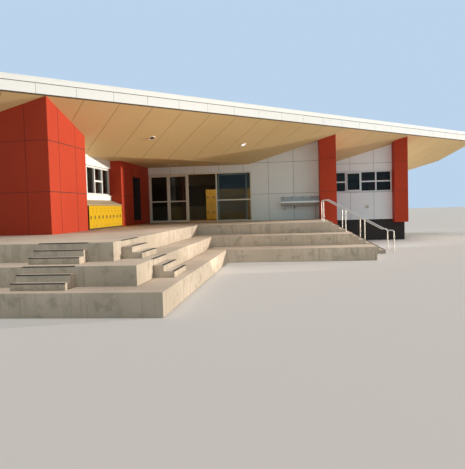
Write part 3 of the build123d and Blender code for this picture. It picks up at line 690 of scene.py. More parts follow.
def block(bm: Shape, corner: Point, far: Point) -> list[Vert]:
    """Adds a box between two opposite corners.

    Args:
        bm: The bmesh that it goes into.
        corner: One corner.
        far: The corner opposite.

    Returns:
        Its vertices.
    """
    low = Vector([min(pair) for pair in zip(corner, far)])
    size = Vector([max(pair) for pair in zip(corner, far)]) - low
    made = bmesh.ops.create_cube(bm, size=1.0)["verts"]
    bmesh.ops.scale(bm, vec=size, verts=made)
    bmesh.ops.translate(bm, vec=low + size / 2, verts=made)
    return made


def standing(point: Vector, way: Vector) -> Matrix:
    """The matrix that puts a shape made along +Z at a point, running another way."""
    return Matrix.Translation(point) @ UP.rotation_difference(way).to_matrix().to_4x4()


def disc(bm: Shape, centre: Vector, axis: Vector, radius: float, depth: float,
         top: float | None = None, segments: int = 24) -> None:
    """Adds a short round bar that starts at a point.

    Args:
        bm: The bmesh that it goes into.
        centre: Middle of its first end.
        axis: The way that it runs.
        radius: Radius at the first end.
        depth: Its length.
        top: Radius at the far end, if another.
        segments: Sides.
    """
    middle = centre + axis.normalized() * depth / 2
    bmesh.ops.create_cone(bm, cap_ends=True, segments=segments, radius1=radius,
                          radius2=radius if top is None else top, depth=depth,
                          matrix=standing(middle, axis.normalized()))


def pipe(bm: Shape, path: Sequence[Point], radius: float, bend: float = 0.0, sides: int = 16) -> None:
    """Adds a round tube along straight runs joined by arcs.

    Args:
        bm: The bmesh that it goes into.
        path: Its corners.
        radius: Radius of the tube.
        bend: Radius of the arcs at the inner corners.
        sides: Faces round the tube.
    """
    path = [Vector(corner) for corner in path]
    ring = bmesh.ops.create_circle(bm, cap_ends=False, segments=sides, radius=radius,
                                   matrix=standing(path[0], (path[1] - path[0]).normalized()))["verts"]
    first = each_once(edge for vert in ring for edge in vert.link_edges)
    edges = first
    here = path[0]
    for index, corner in enumerate(path[1:], start=1):
        heading = (corner - here).normalized()
        stop = corner
        follow = None
        if index < len(path) - 1:
            follow = (path[index + 1] - corner).normalized()
            angle = heading.angle(follow)
            stop = corner - heading * bend * math.tan(angle / 2)
        edges = extend(bm, edges, stop - here)
        here = stop
        if follow is not None:
            axis = heading.cross(follow).normalized()
            centre = here + axis.cross(heading).normalized() * bend
            steps = max(ARC_FACES, round(angle / ARC_STEP))
            turned = bmesh.ops.spin(bm, geom=edges, cent=centre, axis=axis, angle=angle, steps=steps,
                                    use_merge=False)["geom_last"]
            edges = [item for item in turned if isinstance(item, Edge)]
            here = corner + follow * bend * math.tan(angle / 2)
    bmesh.ops.holes_fill(bm, edges=first, sides=0)
    bmesh.ops.holes_fill(bm, edges=edges, sides=0)


def extend(bm: Shape, edges: list[Edge], step: Vector) -> list[Edge]:
    """Extrudes a ring of edges along a straight run.

    Args:
        bm: The bmesh.
        edges: The ring.
        step: How far it goes.

    Returns:
        The new ring's edges.
    """
    grown = bmesh.ops.extrude_edge_only(bm, edges=edges)["geom"]
    verts = [item for item in grown if isinstance(item, Vert)]
    bmesh.ops.translate(bm, verts=verts, vec=step)
    return [item for item in grown if isinstance(item, Edge)
            and all(vert in verts for vert in item.verts)]


def spaced(first: float, step: float, low: float, high: float) -> list[float]:
    """Places at even steps from a first one that lie between two limits.

    Args:
        first: One of the places.
        step: Distance from each to the next.
        low: Lower limit.
        high: Upper limit.

    Returns:
        The places in order.
    """
    start = math.ceil((low - first) / step)
    end = math.floor((high - first) / step)
    return [first + step * count for count in range(start, end + 1)]


@dataclass
class Site:
    """The loaded frame, and the lines that the sub-assemblies share."""

    nodes: dict[str, bpy.types.Object]
    floor: float = 1.32
    tier: float = 0.90
    risers: int = 9
    stair_going: float = 0.26
    module: float = 1.27
    lower_joint: float = 2.665
    upper_joint: float = 4.265
    edge_angle: float = math.radians(43.6)
    edge_start: float = 7.7046
    reach: tuple[float, float] = (-20.0, 30.0)
    fascia_joint: tuple[float, float] = (-1.93, 0.916)
    soffit_joint: tuple[float, float] = (-1.76, 0.9017)

    @property
    def along(self) -> Vector:
        """The way that the roof edge runs, to the right and back."""
        return Vector((math.cos(self.edge_angle), math.sin(self.edge_angle), 0.0))

    @property
    def outward(self) -> Vector:
        """The way that the roof edge looks, to the right and front."""
        return Vector((math.sin(self.edge_angle), -math.cos(self.edge_angle), 0.0))

    def edge_point(self, x: float) -> Vector:
        """The roof edge over a place in X."""
        return Vector((x, self.edge_start + math.tan(self.edge_angle) * x, 0.0))

    def edge_lines(self, joint: tuple[float, float]) -> tuple[Vector, list[float]]:
        """The way of the roof edge, and joints along it from a place and a spacing in X."""
        step = joint[1] / math.cos(self.edge_angle)
        return self.along, spaced(self.edge_point(joint[0]).dot(self.along), step, *self.reach)

    def refinish(self, finish: Finish | Glazing, *names: str) -> None:
        """Gives model nodes another material.

        Args:
            finish: The finish.
            *names: The nodes.
        """
        for name in names:
            for slot in self.nodes[name].material_slots:
                slot.link = "OBJECT"
                slot.material = finish.material()
            LOG.info("%s: finished in %s", name, finish.name)

    def rounded(self, node: str, finish: Finish, width: float, body: Body = Body.BUILDING,
                segments: int = 1) -> None:
        """Replaces a node with a copy that has softened edges.

        Args:
            node: The node.
            finish: Its finish.
            width: Width of the softened edge.
            body: The body that carries it.
            segments: Faces across the edge.
        """
        bm = merged_copy(self.nodes[node])
        soften(bm, width, segments=segments)
        place(bm, f"{node}_dressed", finish, body, (node,), smooth=EDGE_SMOOTH)

    def slope(self, node: str, up: float) -> Vector:
        """The way that a sheet's largest face looks.

        Args:
            node: The sheet's node.
            up: 1 for its top, or -1 for its underside.

        Returns:
            Its unit normal.
        """
        bm = merged_copy(self.nodes[node])
        bm.normal_update()
        faces = [face for face in bm.faces if face.normal.z * up > STEEP]
        normal = max(faces, key=lambda face: face.calc_area()).normal.copy()
        bm.free()
        return normal


# Sub-assemblies


@dataclass
class Cladding:
    """Sheets of panel fixed to a wall with open joints between them."""

    site: Site
    thickness: float = 0.006
    gap: float = 0.012
    backing: float = 0.0012
    arris: float = 0.0015
    bed_margin: float = 0.01
    butt_margin: float = 0.02

    def cover(self, node: str, facing: Vector, finish: Finish, joint: Finish,
              lines: Sequence[tuple[Vector, Sequence[float]]], name: str, gap: float | None = None) -> None:
        """Covers the face of a node that looks one way.

        Args:
            node: The node.
            facing: The way that its face looks.
            finish: The panels' finish.
            joint: The joints' finish.
            lines: For each set of joints, the direction across them and their places.
            name: What the pieces are called.
            gap: Width of the joints, where it isn't the usual one.
        """
        gap = gap or self.gap
        facing = facing.normalized()
        sheet = outer_faces(self.site.nodes[node], facing)
        for across, places in lines:
            cut_strips(sheet, across, places, gap)
        backs = self._part(sheet, [face for across, places in lines
                                   for face in strips_on(sheet, across, places, gap)])
        thicken(sheet, facing, self.thickness)
        flatten(sheet)
        soften(sheet, self.arris)
        place(sheet, f"{name}_panels", finish)
        if backs.faces:
            thicken(backs, facing, self.backing)
            place(backs, f"{name}_joints", joint)
        else:
            backs.free()

    def bond(self, node: str, facing: Vector, finish: Finish, joint: Finish, name: str, up: Vector = UP,
             first: float | None = None, course: float = 0.195, start: float | None = None,
             length: float = 0.4, gap: float = 0.01, butt: float = 0.01, arris: float = 0.0) -> None:
        """Lays blocks or sheets in running bond over a face.

        Args:
            node: The node.
            facing: The way that its face looks.
            finish: Their finish.
            joint: The finish of the bed joints.
            name: What the pieces are called.
            up: The way that the courses follow each other.
            first: Place of one bed joint that way, or None for the lowest edge.
            course: A course's height with its joint.
            start: Place of one butt joint in the even courses, or None for the first end.
            length: A block's length with its joint.
            gap: Width of the bed joints.
            butt: Width of the butt joints.
            arris: Width of the softened edges.
        """
        facing = facing.normalized()
        sheet = outer_faces(self.site.nodes[node], facing)
        across = up.cross(facing).normalized()
        rise = sorted(vert.co.dot(up) for vert in sheet.verts)
        reach = sorted(vert.co.dot(across) for vert in sheet.verts)
        first = rise[0] if first is None else first
        start = reach[0] if start is None else start
        beds = spaced(first, course, rise[0] + self.bed_margin, rise[-1] - self.bed_margin)
        backs = self._part(sheet, cut_strips(sheet, up, beds, gap))
        for row in range(2):
            butts = spaced(start + length / 2 * row, length, reach[0] + self.butt_margin,
                           reach[-1] - self.butt_margin)
            for line in butts:
                for side in (line - butt / 2, line + butt / 2):
                    cut(sheet, across, side, [face for face in sheet.faces
                                              if self._course(face, up, first, course) % 2 == row])
            strips = [face for face in strips_on(sheet, across, butts, butt)
                      if self._course(face, up, first, course) % 2 == row]
            bmesh.ops.delete(sheet, geom=strips, context="FACES")
        thicken(sheet, facing, self.thickness)
        if arris:
            flatten(sheet)
            soften(sheet, arris)
        place(sheet, f"{name}_sheets", finish)
        thicken(backs, facing, self.backing)
        place(backs, f"{name}_joints", joint)

    @staticmethod
    def _part(sheet: Shape, strips: Iterable[Face]) -> Shape:
        """Moves some faces of a sheet to a sheet of their own.

        Args:
            sheet: The sheet.
            strips: The faces.

        Returns:
            The new sheet.
        """
        sheet.faces.index_update()
        marked = {face.index for face in strips}
        backs = sheet.copy()
        for part, kept in ((sheet, False), (backs, True)):
            part.faces.ensure_lookup_table()
            bmesh.ops.delete(part, geom=[face for face in part.faces if (face.index in marked) != kept],
                             context="FACES")
        return backs

    @staticmethod
    def _course(face: Face, up: Vector, first: float, course: float) -> int:
        """Which course of blocks a face is in, counted from the first."""
        return math.floor((face.calc_center_median().dot(up) - first) / course)


@dataclass
class Walls:
    """The clad walls, pillars and portal, the blockwork base and the party wall."""

    site: Site
    cladding: Cladding
    wing_joints: tuple[float, ...] = (-4.30, -5.57)
    return_joints: tuple[float, ...] = (5.065, 6.336)
    return_gap: float = 0.022
    white_joints: tuple[float, ...] = (2.74, 4.01)
    door_head_joints: tuple[float, ...] = (-2.34, -1.07, 0.20, 1.47)
    bay_joints: tuple[float, ...] = (7.155, 8.43)
    niche_edges: tuple[float, ...] = (12.69, 13.84)
    niche_gap: float = 0.018
    side_joint: float = 0.4
    joint_margin: float = 0.1
    flashing: float = 0.006
    flashing_arris: float = 0.002
    drip_proud: float = 0.022
    drip_fall: float = 0.02
    drip_rise: float = 0.012
    drip_end: float = 0.002

    def build(self) -> None:
        """Clads every wall and lays the base."""
        site, clad, margin = self.site, self.cladding, self.joint_margin
        left, right = Vector((-1, 0, 0)), Vector((1, 0, 0))
        front, back = Vector((0, -1, 0)), Vector((0, 1, 0))
        x_way, y_way, up = (axis.vector for axis in Axis)
        rows = (up, (site.lower_joint, site.upper_joint))
        red, white, dark, pale = Finishes.RED, Finishes.WHITE, Finishes.JOINT, Finishes.PALE_JOINT
        low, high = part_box("right_wall")
        side_joints = spaced(low[1] + self.side_joint, site.module, low[1] + margin, high[1] - margin)
        low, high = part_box("back_wall")
        back_joints = spaced(high[0], site.module, low[0] + margin, high[0] - margin)
        pillars = [(pillar, facing, red, [rows], f"{pillar}_{way}", None)
                   for pillar in ("left_pillar", "right_pillar")
                   for way, facing in (("left", left), ("front", front), ("right", right))]
        for node, facing, finish, lines, name, gap in (
                ("wing_front_wall", front, red, [(x_way, self.wing_joints), rows], "wing_front", None),
                ("wing_return_wall", front, red, [rows], "wing_corner", None),
                ("wing_return_wall", right, red, [(y_way, self.return_joints), rows], "wing_return",
                 self.return_gap),
                ("wing_return_wall", back, red, [rows], "wing_return_end", None),
                ("left_wall", front, red, [rows], "wing_party_edge", None),
                ("portal_wall", front, red, [rows], "portal_front", None),
                ("portal_wall", right, red, [(y_way, self.niche_edges), rows], "portal_side", self.niche_gap),
                ("locker_wall", right, white, [(up, (site.upper_joint,))], "locker_recess", None),
                ("white_wall", front, white, [(x_way, self.white_joints), rows], "court", None),
                ("over_door_wall", front, white, [(x_way, self.door_head_joints)], "door_head", None),
                ("bay_wall", front, white, [(x_way, self.bay_joints), rows], "bay", None),
                *pillars,
                ("right_wall", right, white, [(y_way, side_joints), rows], "right_side", None),
                ("back_wall", back, white, [(x_way, back_joints), rows], "back", None),
                ("right_wall", back, white, [rows], "back_right_edge", None)):
            clad.cover(node, facing, finish, dark if finish is red else pale, lines, name, gap)
        clad.bond("left_wall", left, Finishes.PARTY, pale, "party_wall")
        for way, facing in (("front", front), ("right", right), ("back", back), ("left", left)):
            clad.bond("plinth", facing, Finishes.BLOCK, dark, f"plinth_{way}")
        self._flashing()
        site.refinish(Finishes.PLASTER, "wing_front_wall", "locker_wall", "white_wall", "over_door_wall",
                      "bay_wall", "right_wall", "back_wall", "left_wall", "wing_return_wall")
        site.refinish(red, "left_pillar", "right_pillar")
        site.refinish(dark, "portal_wall")
        site.refinish(Finishes.BLOCK, "plinth")

    def _flashing(self) -> None:
        """Folds a white flashing over the slab's edge, with a drip under the bay's cladding."""
        slab_low, slab_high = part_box("floor_slab")
        bay_low, bay_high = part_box("bay_wall")
        flashing = bmesh.new()
        block(flashing, (slab_high[0], bay_high[1], slab_low[2]),
              (slab_high[0] + self.flashing, slab_high[1], slab_high[2]))
        block(flashing, (slab_low[0], slab_high[1], slab_low[2]),
              (slab_high[0], slab_high[1] + self.flashing, slab_high[2]))
        left, right, foot = bay_low[0] + self.drip_end, bay_high[0] - self.drip_end, slab_low[2]
        block(flashing, (left, bay_low[1] - self.drip_proud, foot - self.drip_fall),
              (right, bay_low[1], foot + self.drip_rise))
        soften(flashing, self.flashing_arris)
        place(flashing, "base_flashing", Finishes.FASCIA)


@dataclass(frozen=True)
class Flight:
    """One run of steps: a corner and the height of its top edge, its width, and how it steps down.

    It faces the front, or else the right.
    """

    corner: tuple[float, float]
    level: float
    width: float
    faces_right: bool = False
    going: float = 0.24
    rise: float = 0.14
    count: int = 3


@dataclass
class Terraces:
    """Cast tiers, steps and stair, with ribbed nosing strips."""

    site: Site
    flights: tuple[Flight, ...] = (
        Flight((-1.735, 0.0), Site.floor, 1.15),
        Flight((-1.65, -0.90), Site.tier, 1.15),
        Flight((0.0, 0.55), Site.floor, 1.25, faces_right=True),
        Flight((0.79, 0.32), Site.tier, 1.25, faces_right=True),
        Flight((5.52, 10.10), Site.floor, 2.30, faces_right=True, going=Site.stair_going,
               rise=Site.floor / Site.risers, count=Site.risers),
    )
    arris: float = 0.006
    ribs: int = 5
    strip_width: float = 0.055
    strip_height: float = 0.004
    strip_arris: float = 0.001
    set_back: float = 0.006
    end_gap: float = 0.004
    lip: float = 0.013

    def build(self) -> None:
        """Dresses the concrete and lays the strips."""
        for node in ("deck", "middle_tier", "lower_tier", "terrace_steps", "right_stair"):
            self.site.rounded(node, Finishes.CONCRETE, self.arris, segments=2)
        self.site.refinish(Finishes.CONCRETE, "floor_slab")
        strips = bmesh.new()
        for flight in self.flights:
            for step in range(flight.count):
                self._strip(strips, flight, step)
        soften(strips, self.strip_arris)
        place(strips, "step_nosings", Finishes.NOSING)

    def _strip(self, bm: Shape, flight: Flight, step: int) -> None:
        """Adds the ribs, the base and the turned-down lip of one nosing strip.

        Args:
            bm: The bmesh that they go into.
            flight: The run of steps.
            step: The step, counted down from the top.
        """
        across, out = Axis.X.vector, -Axis.Y.vector
        if flight.faces_right:
            across, out = Axis.Y.vector, Axis.X.vector
        edge = Vector((*flight.corner, flight.level)) + out * flight.going * step
        edge.z -= flight.rise * step
        near = edge + across * self.end_gap
        far = edge + across * (flight.width - self.end_gap)
        rib = self.strip_width / (2 * self.ribs - 1)
        for count in range(self.ribs):
            back = self.set_back + 2 * rib * count
            block(bm, near - out * back, far - out * (back + rib) + UP * self.strip_height)
        front = near + out * self.strip_height
        block(bm, front, far - out * (self.set_back + self.strip_width) + UP * (self.strip_height / 2))
        block(bm, front - UP * self.lip, far)


@dataclass
class StairRails:
    """Two tubular handrails beside the stair.

    Turn is where a rail starts down. A post has its place and the risers from the deck down to its foot.
    """

    site: Site
    radius: float = 0.021
    bend: float = 0.084
    height: float = 0.9
    turn: float = 5.44
    posts: tuple[tuple[float, int], ...] = ((6.105, 3), (6.872, 6))
    foot_radius: float = 0.05
    foot_top: float = 0.046
    foot_depth: float = 0.008

    def build(self) -> None:
        """Bends the rails and sets their posts."""
        low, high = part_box("handrails")
        start_x, end_x = low[0] + self.radius, high[0] - self.radius
        floor = self.site.floor
        top = floor + self.height
        riser = floor / self.site.risers
        slope = riser / self.site.stair_going
        foot = self.turn + (top - self.height) / slope
        rails = bmesh.new()
        for y in (low[1] + self.radius, high[1] - self.radius):
            corners = [(start_x, floor), (start_x, top), (self.turn, top), (foot, self.height),
                       (end_x, self.height), (end_x, 0.0)]
            pipe(rails, [(x, y, z) for x, z in corners], self.radius, self.bend)
            feet = [(start_x, floor), (end_x, 0.0)]
            for x, risers in self.posts:
                z = floor - riser * risers
                pipe(rails, [(x, y, z), (x, y, top - (x - self.turn) * slope)], self.radius)
                feet.append((x, z))
            for x, z in feet:
                disc(rails, Vector((x, y, z)), UP, self.foot_radius, self.foot_depth, self.foot_top)
        bmesh.ops.recalc_face_normals(rails, faces=rails.faces[:])
        place(rails, "handrails_dressed", Finishes.STEEL, stands_for=("handrails",), smooth=ROUND_SMOOTH)


@dataclass
class Blinds:
    """Roller blinds behind the back windows, and turned slats behind the window over the lockers."""

    windows: tuple[float, ...] = (-6.1, -3.3, 1.6, 6.3)
    start: float = -0.06
    end: float = 2.58
    foot: float = 2.22
    head: float = 3.52
    overlap: float = 0.01
    set_back: float = 0.055
    cloth: float = 0.005
    bar: float = 0.012
    bar_sides: int = 10
    roll: float = 0.035
    roll_sides: int = 16
    slats: int = 13
    slat_width: float = 0.10
    slat_depth: float = 0.002
    slat_foot: float = 2.62
    slat_head: float = 3.90
    slat_turn: float = math.radians(68)
    slat_pitch: float = 0.075
    slat_x: float = -4.30
    slat_y: float = 10.19
    rail_half: float = 0.03
    rail_height: float = 0.04
    rail_y: tuple[float, float] = (10.10, 11.18)

    def build(self) -> None:
        """Draws the roller blinds down and hangs the slats."""
        wall_low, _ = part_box("back_wall")
        back = wall_low[1] - self.set_back
        blinds = bmesh.new()
        for window in self.windows:
            left, right = window + self.start, window + self.end
            block(blinds, (left, back - self.cloth, self.foot), (right, back, self.head))
            for z, radius, sides in ((self.foot - self.overlap, self.bar, self.bar_sides),
                                     (self.head + self.overlap, self.roll, self.roll_sides)):
                pipe(blinds, ((left, back, z), (right, back, z)), radius, sides=sides)
        place(blinds, "back_blinds", Finishes.BLIND, smooth=ROUND_SMOOTH)
        slats = bmesh.new()
        half, thin = self.slat_width / 2, self.slat_depth / 2
        turn = Matrix.Rotation(self.slat_turn, 3, "Z")
        for count in range(self.slats):
            made = block(slats, (-half, -thin, self.slat_foot), (half, thin, self.slat_head))
            bmesh.ops.rotate(slats, verts=made, cent=(0, 0, 0), matrix=turn)
            y = self.slat_y + self.slat_pitch * count
            bmesh.ops.translate(slats, verts=made, vec=(self.slat_x, y, 0.0))
        block(slats, (self.slat_x - self.rail_half, self.rail_y[0], self.slat_head),
              (self.slat_x + self.rail_half, self.rail_y[1], self.slat_head + self.rail_height))
        place(slats, "locker_window_blind", Finishes.BLIND)


@dataclass
class OpenSash:
    """The awning sash of the bay's second light, with its foot standing out."""

    bay: tuple[float, float] = (6.06, 9.42)
    lights: int = 4
    mullion: float = 0.075
    stile: float = 0.045
    rail: float = 0.055
    height: float = 1.02
    depth: float = 0.03
    arris: float = 0.003
    tilt: float = math.radians(-2.2)
    hinge: Point = (0.0, 18.196, 3.775)

    def build(self) -> None:
        """Frames the sash and swings it out."""
        start, end = self.bay
        pitch = (end - start - self.mullion) / self.lights
        left, right = start + self.mullion + pitch, start + 2 * pitch
        height, depth = self.height, self.depth
        sash = bmesh.new()
        for corner, far in (((left, 0.0, -height), (left + self.stile, depth, 0.0)),
                            ((right - self.stile, 0.0, -height), (right, depth, 0.0)),
                            ((left, 0.0, -self.rail), (right, depth, 0.0)),
                            ((left, 0.0, -height), (right, depth, self.rail - height))):
            block(sash, corner, far)
        soften(sash, self.arris)
        bmesh.ops.rotate(sash, verts=sash.verts[:], cent=(0, 0, 0), matrix=Matrix.Rotation(self.tilt, 3, "X"))
        bmesh.ops.translate(sash, verts=sash.verts[:], vec=self.hinge)
        place(sash, "bay_open_sash", Finishes.SASH)


@dataclass
class Entrance:
    """The entrance frame, its glazed leaves and their handles, and the window rows."""

    site: Site
    arris: float = 0.003
    pull_arris: float = 0.0008
    leaves: dict[Body, str] = field(default_factory=lambda: {
        Body.LEFT_LEAF: "left_door", Body.RIGHT_LEAF: "right_door", Body.SLIDING_LEAF: "sliding_door"})

    def build(self) -> None:
        """Dresses frames, glass and handles."""
        site = self.site
        for node in ("entrance_frame", "door_track"):
            site.rounded(node, Finishes.FRAME, self.arris)
        site.rounded("window_frames", Finishes.SASH, self.arris)
        Blinds().build()
        OpenSash().build()
        for body, node in self.leaves.items():
            site.rounded(node, Finishes.FRAME, self.arris, body)
            site.refinish(Finishes.GLASS, f"{node}_glass")
            site.rounded(f"{node}_pull", Finishes.STEEL, self.pull_arris, body)
        site.refinish(Finishes.GLASS, "window_glass", "fixed_glass")


@dataclass
class LockerBank:
    """Lockers with perforated doors and latches, their sloping top, and the bank inside.

    Low vents are measured up from a door's foot and high vents down from its head. Vents and latch stand
    off the middle of a door by shares of its width. Cup and button are first radius, depth and far radius.
    """

    site: Site
    doors: int = 9
    inside_doors: int = 8
    inside_tiers: int = 2
    kick: float = 0.05
    margin: float = 0.06
    inside_margin: float = 0.08
    gap: float = 0.006
    proud: float = 0.012
    arris: float = 0.003
    low_vents: tuple[float, ...] = (0.085, 0.105)
    high_vents: tuple[float, ...] = (0.225, 0.205, 0.115, 0.095)
    vent_size: Point = (0.062, 0.0025, 0.010)
    vent_place: float = 0.27
    inlay: float = 0.001
    latch_place: float = 0.19
    latch_height: float = 0.48
    cup: Point = (0.046, 0.004, 0.044)
    cup_sides: int = 20
    button: Point = (0.020, 0.010, 0.016)
    button_sides: int = 14
    grip_half: float = 0.055
    grip_reach: float = 0.03
    grip_radius: float = 0.007
    grip_bend: float = 0.012
    grip_sides: int = 8
    top_arris: float = 0.006
    # Place of the painted-shade block in the gap beside the bank, as offsets from the bank's box.
    gap_shade_x: tuple[float, float] = (0.30, 0.10)
    gap_shade_y: tuple[float, float] = (0.197, 0.003)
    gap_shade_z: tuple[float, float] = (0.003, 2.235)
    sill_top: float = 2.68
    sill_depth: float = 0.025
    sill_proud: float = 0.05
    sill_skin: float = 0.012
    sill_gap: float = 0.01

    def build(self) -> None:
        """Builds both banks, the top, the sill over it, and a near-black block of painted shade in the gap
        beside them.
        """
        site = self.site
        low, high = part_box("lockers")
        pitch = (high[1] - low[1]) / self.doors
        # Painted shade: a near-black block fills the gap between the wing's end and the first locker, where
        # there is only deep shadow.
        gap_shade = bmesh.new()
        block(gap_shade, (high[0] - self.gap_shade_x[0], low[1] - self.gap_shade_y[0], site.floor + self.gap_shade_z[0]),
              (high[0] - self.gap_shade_x[1], low[1] - self.gap_shade_y[1], self.gap_shade_z[1]))
        doors, dark, latches = bmesh.new(), bmesh.new(), bmesh.new()
        for count in range(self.doors):
            foot = Vector((high[0], low[1] + pitch * count + pitch / 2, low[2] + self.kick))
            self._door(doors, dark, latches, foot, Axis.X.vector, Axis.Y.vector, pitch - self.gap,
                       high[2] - low[2] - self.margin)
        low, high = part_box("inside_lockers")
        wide = (high[0] - low[0]) / self.inside_doors
        tall = (high[2] - low[2] - self.inside_margin) / self.inside_tiers
        for count in range(self.inside_doors):
            for tier in range(self.inside_tiers):
                foot = Vector((low[0] + wide * (count + 0.5), low[1], low[2] + self.kick + tall * tier))
                self._door(doors, dark, latches, foot, -Axis.Y.vector, Axis.X.vector, wide - self.gap,
                           tall - self.gap)
        soften(doors, self.arris)
        place(doors, "locker_doors", Finishes.LOCKER)
        # Painted shade: the vent slots and latch cups are near-black for the shade inside them.
        place(dark, "locker_vents", Finishes.PAINTED_SHADE_BLACK)
        place(latches, "locker_latches", Finishes.STEEL, smooth=ROUND_SMOOTH)
        # Painted shade: the carcasses that show between and under the doors are finished near-black.
        site.refinish(Finishes.PAINTED_SHADE_BLACK, "lockers", "inside_lockers")
        site.rounded("locker_top", Finishes.TIMBER_GREY, self.top_arris)
        self._window_sill()
        soften(gap_shade, self.arris)
        place(gap_shade, "locker_gap_painted_shade", Finishes.PAINTED_SHADE_BLACK)

    def _window_sill(self) -> None:
        """Adds the folded white sill between the recessed window and the sloping top."""
        wall_low, wall_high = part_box("locker_wall")
        _, top_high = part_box("locker_top")
        face, start, end = wall_high[0], wall_low[1] + self.sill_gap, wall_high[1] - self.sill_gap
        sill = bmesh.new()
        block(sill, (face, start, top_high[2] + self.sill_gap), (face + self.sill_skin, end, self.sill_top))
        block(sill, (face - self.sill_proud, start, self.sill_top - self.sill_depth),
              (face + self.sill_proud, end, self.sill_top))
        soften(sill, self.arris)
        place(sill, "locker_window_sill", Finishes.FASCIA)

    def _door(self, doors: Shape, dark: Shape, latches: Shape, foot: Vector, out: Vector, along: Vector,
              width: float, height: float) -> None:
        """Adds one door with its vents and latch.

        Args:
            doors: Takes the leaf.
            dark: Takes the vents, the latch cup and grip, in near-black that paints the shade in the slots
                and cup.
            latches: Takes the latch.
            foot: Middle of the door's lower edge, on the bank's face.
            out: The way that the door faces.
            along: The way that its width runs.
            width: Its width.
            height: Its height.
        """
        block(doors, foot - along * width / 2, foot + along * width / 2 + out * self.proud + UP * height)
        face = foot + out * (self.proud - self.inlay)
        vent_width, vent_depth, vent_height = self.vent_size
        for z in (*self.low_vents, *(height - drop for drop in self.high_vents)):
            middle = face + along * width * self.vent_place + UP * z
            half = along * vent_width / 2 + UP * (vent_height / 2)
            block(dark, middle - half, middle + half + out * vent_depth)
        middle = face - along * width * self.latch_place + UP * height * self.latch_height
        base = middle + out * self.cup[1]
        disc(dark, middle, out, *self.cup, self.cup_sides)
        disc(latches, base, out, *self.button, self.button_sides)
        reach, half = middle + out * self.grip_reach, UP * self.grip_half
        pipe(dark, [base + half, reach + half, reach - half, base - half], self.grip_radius, self.grip_bend,
             self.grip_sides)


@dataclass
class Trough:
    """The stainless drinking trough with its taps, frame and waste.

    Plates and the trap are first radius, depth and far radius.
    """

    site: Site
    lip: float = 2.247
    bowl_depth: float = 0.2015
    bowl_arris: float = 0.004
    tap_arris: float = 0.003
    apron: float = 0.085
    apron_proud: float = 0.004
    apron_lap: float = 0.002
    apron_seat: float = 0.001
    apron_arris: float = 0.0018
    frame_y: float = 15.09
    bracket_x: float = 3.53
    bar_z: float = 1.985
    leg_x: float = 5.08
    tube: float = 0.018
    tube_bend: float = 0.05
    drop: float = 0.13
    foot_plate: Point = (0.055, 0.008, 0.050)
    wall_plate: Point = (0.045, 0.008, 0.040)
    waste_x: float = 4.03
    waste_back: float = 0.06
    waste_tube: float = 0.024
    waste_bend: float = 0.035
    waste_plate: Point = (0.045, 0.006, 0.040)
    trap: Point = (0.042, 0.055, 0.038)
    trap_drop: float = 0.025

    def build(self) -> None:
        """Builds the trough and what carries it."""
        bowl = merged_copy(self.site.nodes["trough"])
        low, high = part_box("trough")
        bottom, apron_foot = self.lip - self.bowl_depth, self.lip - self.apron
        bmesh.ops.bisect_plane(bowl, geom=everything(bowl), dist=CUT_DISTANCE, plane_co=UP * bottom,
                               plane_no=-UP, clear_outer=True)
        bmesh.ops.holes_fill(bowl, edges=[edge for edge in bowl.edges if edge.is_boundary], sides=0)
        soften(bowl, self.bowl_arris, segments=2)
        place(bowl, "trough_dressed", Finishes.BASIN, stands_for=("trough",), smooth=EDGE_SMOOTH)
        self.site.rounded("trough_taps", Finishes.TAP, self.tap_arris)
        apron = bmesh.new()
        block(apron, (low[0] - self.apron_lap, low[1] - self.apron_proud, apron_foot),
              (high[0], low[1] + self.apron_seat, self.lip))
        block(apron, (low[0] - self.apron_proud, low[1], apron_foot), (low[0], high[1], self.lip))
        soften(apron, self.apron_arris, segments=2)
        place(apron, "trough_apron", Finishes.STEEL)
        self._frame(bottom, high[1])

    def _frame(self, bottom: float, wall_y: float) -> None:
        """Adds the tube frame, its foot and the waste under the bowl.

        Args:
            bottom: Height of the bowl's underside.
            wall_y: Place of the wall.
        """
        frame = bmesh.new()
        y, floor, back = self.frame_y, self.site.floor, -Axis.Y.vector
        left, right, low = self.bracket_x, self.leg_x, self.bar_z - self.drop
        pipe(frame, [(left, y, bottom), (left, y, low), (left, wall_y, low)], self.tube, self.tube_bend)
        pipe(frame, [(left, y, self.bar_z), (right, y, self.bar_z)], self.tube)
        pipe(frame, [(right, y, bottom), (right, y, floor)], self.tube)
        disc(frame, Vector((right, y, floor)), UP, *self.foot_plate)
        disc(frame, Vector((left, wall_y, low)), back, *self.wall_plate)
        bmesh.ops.recalc_face_normals(frame, faces=frame.faces[:])
        place(frame, "trough_frame", Finishes.BASIN, smooth=ROUND_SMOOTH)
        waste = bmesh.new()
        x, y, low = self.waste_x, y + self.waste_back, bottom - self.drop
        pipe(waste, [(x, y, bottom), (x, y, low), (x, wall_y, low)], self.waste_tube, self.waste_bend)
        disc(waste, Vector((x, y, bottom - self.trap_drop)), -UP, *self.trap)
        disc(waste, Vector((x, wall_y, low)), back, *self.waste_plate)
        bmesh.ops.recalc_face_normals(waste, faces=waste.faces[:])
        place(waste, "trough_waste", Finishes.TAP, smooth=ROUND_SMOOTH)


